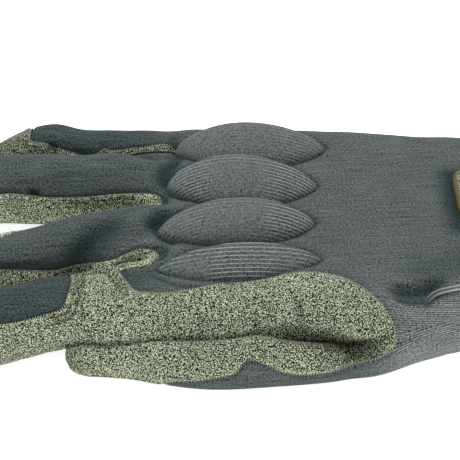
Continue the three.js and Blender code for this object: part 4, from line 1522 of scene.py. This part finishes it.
class GLOVE_OT_heathered_panels(bpy.types.Operator):
    """Builds the heathered saddle of the thumb and the strips between the fingers"""

    bl_idname = "glove.heathered_panels"
    bl_label = "Heathered panels"

    def execute(self, context):
        light, dark = chosen_colour("heather_light"), chosen_colour("heather_dark")
        saddle = heather_material("heathered cloth", light, dark, SADDLE_LIFT)
        # The strips' copy of the cloth is painted lighter against the shade between the fingers
        painted_strip_light = tuple(STRIP_PAINTED_LIGHT * value for value in light)
        strip = heather_material("heathered strips", painted_strip_light, dark, STRIP_LIFT)
        for name in HEATHERED:
            material = saddle if name == "thumb_saddle" else strip
            finished(name, panel_mesh(name, chosen_size("wall")), material)
        return {"FINISHED"}


# Knuckle pads

PAD_STEPS_ALONG = 170
PAD_STEPS_ACROSS = 150
# How deep the foot goes, and how the rim sinks with the cloth round it
PAD_FOOT = 4.5
PAD_RIM = 0.9
PAD_RIM_SINK = 0.6
# How far the ribs and their painted highlights show from the crest down, and from the middle to the ends;
# both fade at the rim
EDGE_RIBS = (2.0, 4.0)
EDGE_RIBS_SHARE = 0.75
FLANK_RIBS = (0.22, 0.55)
RIM_RIBS = (0.0, 0.4)
# Painted shade round each pad's foot: its tone at the rim, and the heights over which it fades to none
PAD_RIM_TONE = 0.8
PAD_RIM_TONE_HEIGHT = (0.2, 2.0)


def pad_ribs(pad, along, depth):
    """How clearly the ribs of a pad show: along its far edge, and on its two ends."""
    ends = np.where(along < 0, pad.ribs_front, pad.ribs_back)
    flank = between(pad.ribs_middle, ends, smooth_step(np.abs(along), *FLANK_RIBS))
    edge = EDGE_RIBS_SHARE * max(pad.ribs_front, pad.ribs_middle) * (1 - smooth_step(depth, *EDGE_RIBS))
    return np.maximum(flank, edge)


def pad_dome(number):
    """A pad's dome, trimmed beside its neighbours, on a grid along and across it."""
    pad = PADS[number]
    along = -np.cos(np.pi * np.linspace(0, 1, PAD_STEPS_ALONG + 1))[:, None]
    across = np.sin(np.pi * np.linspace(-0.5, 0.5, PAD_STEPS_ACROSS + 1))[None, :]
    x = pad.x + along * np.where(along < 0, pad.front, pad.back)
    (whole_far, far), (whole_near, near) = pad_sides(number, x)
    width = np.where(across > 0, far, near)
    share = np.minimum(np.abs(across * width / np.where(across > 0, whole_far, whole_near)), 1)
    height = pad.rise * pad_lens(pad, x) ** PAD_DOME_POWER * (1 - share**2) ** pad.crown
    y = pad_middle(pad, x) + across * width
    return np.broadcast_to(along, y.shape), np.broadcast_to(x, y.shape), y, height


def dome_faces(rows, columns):
    """Faces of a dome on a grid, of its floor, which follows in the same order, and round them."""
    grid = np.arange(rows * columns).reshape(rows, columns)
    top = np.stack([grid[:-1, :-1], grid[1:, :-1], grid[1:, 1:], grid[:-1, 1:]], axis=-1).reshape(-1, 4)
    edge = np.concatenate([grid[:, 0], grid[-1, 1:], grid[-2::-1, -1], grid[0, -2:0:-1]])
    following = np.roll(edge, -1)
    below = rows * columns
    wall = np.stack([edge, edge + below, following + below, following], axis=1)
    return np.concatenate([top, top[:, ::-1] + below, wall])


def pad_mesh(number, rib_rise):
    """A closed lens with a domed, ribbed top, in metres."""
    pad = PADS[number]
    along, x, y, height = pad_dome(number)
    # Ribs run along the crest as it shows from the thumb's side, a little flatter than it
    lifted = y * UPWARD[1] + height * UPWARD[2]
    crest_line = lifted.max(axis=1, keepdims=True)
    ribs = pad_ribs(pad, along, crest_line - lifted) * smooth_step(height, *RIM_RIBS)
    depth = crest_line - lifted + pad.bend * (crest_line.max() - crest_line)
    crest = (0.5 + 0.5 * np.sin(2 * np.pi * depth / pad.pitch)) ** RIB_SHARPNESS
    ground = np.stack([x, y, np.full_like(x, PAD_BASE)], axis=-1)
    sunk = np.minimum(fold_rise(ground.reshape(-1, 3)), 0).reshape(x.shape) - PAD_RIM_SINK
    top, floor = ground.copy(), ground.copy()
    top[..., 2] += height + sunk * np.exp(-height / PAD_RIM) + rib_rise * crest * ribs
    floor[..., 2] -= PAD_FOOT
    points = np.concatenate([top.reshape(-1, 3), floor.reshape(-1, 3)])
    tone = between(PAD_RIM_TONE, 1, smooth_step(height, *PAD_RIM_TONE_HEIGHT))
    weave = np.stack([x * MM, depth / pad.pitch * RIB_PITCH], axis=-1).reshape(-1, 2)
    faces = dome_faces(*x.shape)
    mesh = mesh_from(pad.node, to_scene(points), faces, np.tile(weave, (2, 1)), np.tile(tone.ravel(), 2))
    store(mesh, "ribs", np.tile(ribs.ravel(), 2))
    return mesh


class GLOVE_OT_knuckle_pads(bpy.types.Operator):
    """Builds the four domed pads over the knuckles"""

    bl_idname = "glove.knuckle_pads"
    bl_label = "Knuckle pads"

    def execute(self, context):
        material = pad_material("padded knit", chosen_colour("pad_knit"), chosen_colour("deep_knit"))
        for number, pad in enumerate(PADS):
            mesh = pad_mesh(number, chosen_size("rib_rise"))
            finished(pad.node, mesh, material)
        return {"FINISHED"}


# Wrist: piping and tab


def closed_rings(rings):
    """Points and triangles of a closed body through rings of points, with a point at each end."""
    count = len(rings[0])
    points = np.concatenate([[rings[0].mean(axis=0)], *rings, [rings[-1].mean(axis=0)]])
    around = np.arange(count)
    following = (around + 1) % count
    faces = []
    for ring in range(len(rings) - 1):
        a, b = 1 + ring * count + around, 1 + ring * count + following
        faces += [np.stack([a, b, b + count], axis=1), np.stack([a, b + count, a + count], axis=1)]
    last = 1 + (len(rings) - 1) * count
    faces.append(np.stack([np.zeros(count, dtype=int), following + 1, around + 1], axis=1))
    faces.append(np.stack([np.full(count, len(points) - 1), last + around, last + following], axis=1))
    return points, np.concatenate(faces)


# The binding: its section, the groove along its top, the points over which its ends are rounded and painted
# shade darkens its start in the pocket, and the points round its section
PIPING_HALF_WIDTH = 0.8
PIPING_HALF_HEIGHT = 0.55
PIPING_LIFT = 0.25
PIPING_GROOVE = 0.45
PIPING_GROOVE_WIDTH = 0.3
PIPING_GROOVE_SHADE = 0.85
PIPING_ROUND_STEPS = 5.0
PIPING_SHADED_STEPS = 30
PIPING_START_TONE = 0.2
PIPING_SIDES = 36


def directions(path):
    """Out of the cloth at a line on it, and sideways from the line."""
    along = unit(np.gradient(path, axis=0))
    _, outward = distance_and_slope(path)
    outward = unit(outward - (outward * along).sum(axis=1, keepdims=True) * along)
    return outward, np.cross(along, outward)


def piping_mesh():
    """A rolled binding with a groove along its middle, in metres."""
    path = piping_path()
    outward, aside = directions(path)
    angle = np.linspace(0, 2 * math.pi, PIPING_SIDES, endpoint=False)
    groove = bell(np.cos(angle), PIPING_GROOVE_WIDTH) * (np.sin(angle) > 0)
    wide_share = PIPING_HALF_WIDTH * np.cos(angle)[:, None]
    high_share = PIPING_HALF_HEIGHT * (np.sin(angle) - PIPING_GROOVE * groove)[:, None]
    steps = np.arange(PIPING_STEPS)
    grow = np.sqrt(np.minimum((np.minimum(steps, steps[::-1]) + 0.5) / PIPING_ROUND_STEPS, 1.0))
    rings = [
        spot + PIPING_LIFT * up + size * (wide_share * side + high_share * up)
        for spot, up, side, size in zip(path, outward, aside, grow)
    ]
    points, faces = closed_rings(rings)
    # Painted shade at the start, inside the pocket, and along the groove
    shaded = smooth_step(steps, -0.5 * PIPING_SHADED_STEPS, PIPING_SHADED_STEPS)[:, None]
    around = shaded * (1 - PIPING_GROOVE_SHADE * groove)
    tone = np.concatenate([[PIPING_START_TONE], around.ravel(), [1.0]])
    return mesh_from("cuff_binding", to_scene(points), faces, tone=tone)


# The tab: how it stands over the cloth, how round its edge and how square its corners are,
# the seam inside its edge, and where its bound edge fades out
TAB_CLEARANCE = 0.35
TAB_THICKNESS = 2.6
TAB_ROUND = 1.2
TAB_SQUARENESS = 6
TAB_INNERMOST = 0.03
TAB_SEAM = 0.35
TAB_SEAM_PLACE = 3.0
TAB_SEAM_REACH = 0.5
TAB_BOUND = (0.9, 1.6)
TAB_RINGS = 26
TAB_SIDES = 160


def tab_outline():
    """The tab's rounded outline in plan."""
    middle = np.array([(TAB["left"] + TAB["right"]) / 2, (TAB["far"] + TAB["near"]) / 2])
    half = np.array([TAB["right"] - TAB["left"], TAB["far"] - TAB["near"]]) / 2
    angle = np.linspace(0, 2 * math.pi, TAB_SIDES, endpoint=False)
    ray = np.stack([np.cos(angle), np.sin(angle)], axis=1)
    return middle + np.sign(ray) * np.abs(ray) ** (2 / TAB_SQUARENESS) * half


def tab_mesh():
    """The closure tab as a soft slab that follows the back of the wrist, in metres."""
    edge = tab_outline()
    middle = edge.mean(axis=0)
    shares = np.sin(np.linspace(TAB_INNERMOST, 1, TAB_RINGS) * math.pi / 2)
    reach = np.linalg.norm(edge - middle, axis=1)
    rings, bound = [], []
    for upper, order in ((True, shares), (False, shares[::-1])):
        for share in order:
            places = middle + share * (edge - middle)
            inset = (1 - share) * reach
            rounded = np.sqrt(np.maximum(1 - (1 - np.clip(inset / TAB_ROUND, 0, 1)) ** 2, 0))
            lift = 0.5 * TAB_THICKNESS * (1 + rounded if upper else 1 - rounded)
            if upper:
                lift = lift - TAB_SEAM * bell(inset - TAB_SEAM_PLACE, TAB_SEAM_REACH)
            rings.append(np.column_stack([places, height_over(places) + TAB_CLEARANCE + lift]))
            bound.append(1 - smooth_step(inset, *TAB_BOUND))
    points, faces = closed_rings(rings)
    mesh = mesh_from("wrist_tab", to_scene(points), faces, points[:, :2] * MM, np.ones(len(points)))
    store(mesh, "bound", np.concatenate([[0], *bound, [0]]))
    return mesh


class GLOVE_OT_wrist(bpy.types.Operator):
    """Builds the piping at the wrist opening and the closure tab"""

    bl_idname = "glove.wrist"
    bl_label = "Wrist piping and tab"

    def execute(self, context):
        piping = thread_material("piping", chosen_colour("piping"), PIPING_TWIST, toned=True)
        finished("cuff_binding", piping_mesh(), piping)
        light, dark = chosen_colour("heather_light"), chosen_colour("heather_dark")
        cloth = heather_material("heathered tab", light, dark, bound_edge=chosen_colour("tab_edge"))
        finished("wrist_tab", tab_mesh(), cloth)
        return {"FINISHED"}


# Seam stitches


# Points of the shortest seam that is sewn
SHORTEST_SEAM = 12


def boundary_keys(triangles, count):
    """Keys of the edges that only one triangle uses."""
    unique, uses = np.unique(edge_keys(all_edges(triangles), count), return_counts=True)
    return unique[uses == 1]


def seam_lines():
    """Lines of point numbers along which heathered cloth meets knit."""
    parts = shell()
    count = len(parts["points"])
    sides = {True: [], False: []}
    for name, triangles in parts["panels"].items():
        sides[name in HEATHERED].append(boundary_keys(triangles, count))
    shared = np.intersect1d(np.concatenate(sides[True]), np.concatenate(sides[False]))
    neighbours = {}
    for key in shared.tolist():
        start, end = divmod(key, count)
        neighbours.setdefault(start, []).append(end)
        neighbours.setdefault(end, []).append(start)
    lines = []
    ends = [spot for spot, others in neighbours.items() if len(others) != 2]
    for first in ends + list(neighbours):
        while neighbours.get(first):
            line = [first]
            while neighbours.get(line[-1]):
                following = neighbours[line[-1]].pop()
                neighbours[following].remove(line[-1])
                line.append(following)
            lines.append(line)
    return [line for line in lines if len(line) > SHORTEST_SEAM]


def line_mesh(name, lines):
    """Loose lines as a mesh of edges, with the cloth's outward direction at each point."""
    points, outward, edges = [], [], []
    for spots, ups in lines:
        first = len(points)
        points += spots.tolist()
        outward += ups.tolist()
        edges += [(first + i, first + i + 1) for i in range(len(spots) - 1)]
    mesh = bpy.data.meshes.new(name)
    mesh.from_pydata(to_scene(points).tolist(), edges, [])
    flat = np.array(outward, dtype=np.float32).ravel()
    mesh.attributes.new("outward", "FLOAT_VECTOR", "POINT").data.foreach_set("vector", flat)
    return mesh


# Sizes of stitches, in metres, and how far they are turned from the seam
SEAM_STITCHES = {"Spacing": 0.0008, "Length": 0.0009, "Radius": 0.00015, "Slant": math.radians(62)}
HEM_STITCHES = {"Spacing": 0.0026, "Length": 0.0021, "Radius": 0.00022, "Slant": 0.0}


def stitch_tree(material, sizes):
    """Nodes that lay short slanted threads along the lines of a mesh, and their inputs' names."""
    group = bpy.data.node_groups.new("seam stitches", "GeometryNodeTree")
    sockets = {}
    group.interface.new_socket("Lines", in_out="INPUT", socket_type="NodeSocketGeometry")
    for name, value in sizes.items():
        socket = group.interface.new_socket(name, in_out="INPUT", socket_type="NodeSocketFloat")
        socket.default_value = value
        sockets[name] = socket.identifier
    group.interface.new_socket("Stitches", in_out="OUTPUT", socket_type="NodeSocketGeometry")
    tree = Tree(group)
    given = tree.add("NodeGroupInput", {}).outputs

    curve = tree.add("GeometryNodeMeshToCurve", {"Mesh": given["Lines"]}).outputs["Curve"]
    spots = {"Curve": curve, "Length": given["Spacing"]}
    places = tree.add("GeometryNodeResampleCurve", spots, mode="LENGTH").outputs["Curve"]

    bead = tree.add("GeometryNodeMeshUVSphere", {"Segments": 6, "Rings": 5, "Radius": 1})
    half = tree.add("ShaderNodeMath", {0: given["Length"], 1: 0.5}, operation="MULTIPLY").outputs[0]
    size = {"X": half, "Y": given["Radius"], "Z": given["Radius"]}
    size = tree.add("ShaderNodeCombineXYZ", size).outputs[0]
    thread = {"Geometry": bead.outputs["Mesh"], "Scale": size}
    thread = tree.add("GeometryNodeTransform", thread).outputs["Geometry"]

    tangent = tree.add("GeometryNodeInputTangent", {}).outputs[0]
    turn = tree.add("FunctionNodeAlignRotationToVector", {"Vector": tangent}, axis="X")
    outward = tree.add("GeometryNodeInputNamedAttribute", {"Name": "outward"}, data_type="FLOAT_VECTOR")
    upright = {"Rotation": turn.outputs["Rotation"], "Vector": outward.outputs["Attribute"]}
    turn = tree.add("FunctionNodeAlignRotationToVector", upright, axis="Z", pivot_axis="X")
    slant = {"Axis": (0, 0, 1), "Angle": given["Slant"]}
    slant = tree.add("FunctionNodeAxisAngleToRotation", slant).outputs["Rotation"]
    turn = {"Rotation": turn.outputs["Rotation"], "Rotate By": slant}
    turn = tree.add("FunctionNodeRotateRotation", turn, rotation_space="LOCAL").outputs["Rotation"]

    lay = tree.add("GeometryNodeInstanceOnPoints", {"Points": places, "Instance": thread, "Rotation": turn})
    real = tree.add("GeometryNodeRealizeInstances", {"Geometry": lay.outputs["Instances"]})
    coloured = {"Geometry": real.outputs["Geometry"], "Material": material}
    coloured = tree.add("GeometryNodeSetMaterial", coloured).outputs["Geometry"]
    tree.add("NodeGroupOutput", {"Stitches": coloured})
    return group, sockets


def add_stitches(name, lines, material, sizes):
    """Threads along lines as one plain mesh, from the tree of stitches."""
    group, sockets = stitch_tree(material, sizes)
    thing = add_object(name, line_mesh(name, lines))
    modifier = thing.modifiers.new("stitches", "NODES")
    modifier.node_group = group
    for label, value in sizes.items():
        modifier[sockets[label]] = value
    applied(thing)
    thing.data.shade_smooth()
    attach(thing, "root")


SMOOTH_ROUNDS = 6


def smooth_line(points):
    """A line's places or directions, evened out along it."""
    points = points.copy()
    for _ in range(SMOOTH_ROUNDS):
        points[1:-1] += 0.5 * ((points[:-2] + points[2:]) / 2 - points[1:-1])
    return points


STITCH_LIFT = 0.12
# The hem's line starts on an oval round the cuff: its middle, half width and half height
HEM_POINTS = 400
HEM_OVAL = (-2.0, 14.0, 55.0, 20.0)
HEM_ROUNDS = 40
HEM_LOWEST = 0.8


def seam_paths():
    """The heathered seams as lines on the cloth, with its outward directions."""
    paths = []
    for numbers in seam_lines():
        points = smooth_line(shell()["points"][numbers])
        outward = smooth_line(shell()["outward"][numbers])
        no_distance = np.zeros(len(points))
        rise = relief(points, no_distance, no_distance, True) + STITCH_LIFT
        paths.append((points + rise[:, None] * outward, outward))
    return paths


def hem_path():
    """A line round the wrist just inside the cuff's hem, without what lies on the floor."""
    middle_y, middle_z, half_width, half_height = HEM_OVAL
    angle = np.linspace(0, 2 * math.pi, HEM_POINTS)
    oval = [middle_y + half_width * np.cos(angle), middle_z + half_height * np.sin(angle)]
    points = np.column_stack([np.full(HEM_POINTS, CUFF_END - CUFF_HEM), *oval])
    points = onto_surface(points, HEM_ROUNDS)
    _, outward = distance_and_slope(points)
    no_seam = np.full(HEM_POINTS, FAR_AWAY)
    rise = relief(points, no_seam, no_seam, False) + STITCH_LIFT
    raised = points + rise[:, None] * outward
    kept = raised[:, 2] > HEM_LOWEST
    return raised[kept], outward[kept]


class GLOVE_OT_stitches(bpy.types.Operator):
    """Sews the seams of the heathered cloth and the hem of the cuff"""

    bl_idname = "glove.stitches"
    bl_label = "Stitches"

    def execute(self, context):
        thread = thread_material("sewing thread", chosen_colour("thread"))
        add_stitches("seam_stitches", seam_paths(), thread, SEAM_STITCHES)
        grey = thread_material("hem thread", chosen_colour("piping"))
        add_stitches("hem_stitches", [hem_path()], grey, HEM_STITCHES)
        return {"FINISHED"}


# Stage


FLOOR_HALF = 2.0
FLOOR_GLOW = 0.8
FLOOR_ROUGHNESS = 0.9
STUDIO_LIGHT = 0.8
# Soft lamps: name, place, size and power
LAMPS = [("key", (-0.25, 0.45, 1.1), 0.5, 9), ("fill", (0.7, -0.9, 0.7), 1.0, 2)]


def aim(thing, place, target):
    """Puts a lamp or a camera at a place, and turns it to a target."""
    thing.location = place
    thing.rotation_euler = (Vector(target) - Vector(place)).to_track_quat("-Z", "Y").to_euler()


def add_light(name, place, size, power):
    """A square soft lamp that shines on the glove."""
    lamp = bpy.data.lights.new(name, "AREA")
    lamp.size = size
    lamp.energy = power
    aim(add_object(name, lamp), place, (0, 0, 0))


class GLOVE_OT_stage(bpy.types.Operator):
    """Adds the pale floor, the soft lights and the camera of the picture"""

    bl_idname = "glove.stage"
    bl_label = "Stage"

    def execute(self, context):
        recipe = Recipe("pale floor")
        recipe.shader.inputs["Base Color"].default_value = (*chosen_colour("floor"), 1)
        recipe.shader.inputs["Roughness"].default_value = FLOOR_ROUGHNESS
        recipe.shader.inputs["Emission Color"].default_value = (1, 1, 1, 1)
        recipe.shader.inputs["Emission Strength"].default_value = FLOOR_GLOW
        corners = FLOOR_HALF * np.array([(-1, -1, 0), (1, -1, 0), (1, 1, 0), (-1, 1, 0)])
        floor = add_object("floor", mesh_from("floor", corners, np.array([[0, 1, 2, 3]])))
        floor.data.materials.append(recipe.material)
        floor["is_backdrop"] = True

        context.scene.view_settings.view_transform = "Standard"
        for lamp in LAMPS:
            add_light(*lamp)
        world = bpy.data.worlds.new("studio")
        world.use_nodes = True
        background = world.node_tree.nodes["Background"]
        background.inputs["Color"].default_value = (1, 1, 1, 1)
        background.inputs["Strength"].default_value = STUDIO_LIGHT
        context.scene.world = world

        lens = bpy.data.cameras.new("camera")
        lens.sensor_width = SENSOR
        lens.lens = FOCAL_PIXELS / PICTURE * SENSOR
        lens.clip_start = CLIP_START
        context.scene.camera = add_object("camera", lens)
        aim(context.scene.camera, to_scene(CAMERA_PLACE), to_scene(CAMERA_AIM))
        return {"FINISHED"}


class GLOVE_PT_sidebar(bpy.types.Panel):
    """Lists the glove's pieces"""

    bl_label = "Tactical Glove"
    bl_idname = "GLOVE_PT_sidebar"
    bl_space_type = "VIEW_3D"
    bl_region_type = "UI"
    bl_category = "Glove"

    def draw(self, context):
        for name in GloveSettings.__annotations__:
            self.layout.prop(context.scene.glove, name)
        for operator in OPERATORS:
            self.layout.operator(operator.bl_idname)


OPERATORS = (
    GLOVE_OT_stage,
    GLOVE_OT_knit_panels,
    GLOVE_OT_heathered_panels,
    GLOVE_OT_knuckle_pads,
    GLOVE_OT_wrist,
    GLOVE_OT_stitches,
)
CLASSES = (GloveSettings, *OPERATORS, GLOVE_PT_sidebar)


def register():
    for thing in CLASSES:
        bpy.utils.register_class(thing)
    bpy.types.Scene.glove = bpy.props.PointerProperty(type=GloveSettings)


def unregister():
    del bpy.types.Scene.glove
    for thing in reversed(CLASSES):
        bpy.utils.unregister_class(thing)


def main():
    """Builds the glove and its stage."""
    register()
    bpy.ops.glove.stage()
    bpy.ops.glove.knit_panels()
    bpy.ops.glove.heathered_panels()
    bpy.ops.glove.knuckle_pads()
    bpy.ops.glove.wrist()
    bpy.ops.glove.stitches()
    sizes = {"cad": CAD_BOX, "visual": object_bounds()}
    {key: [list(corner) for corner in box] for key, box in sizes.items()}


if __name__ == "__main__":
    main()
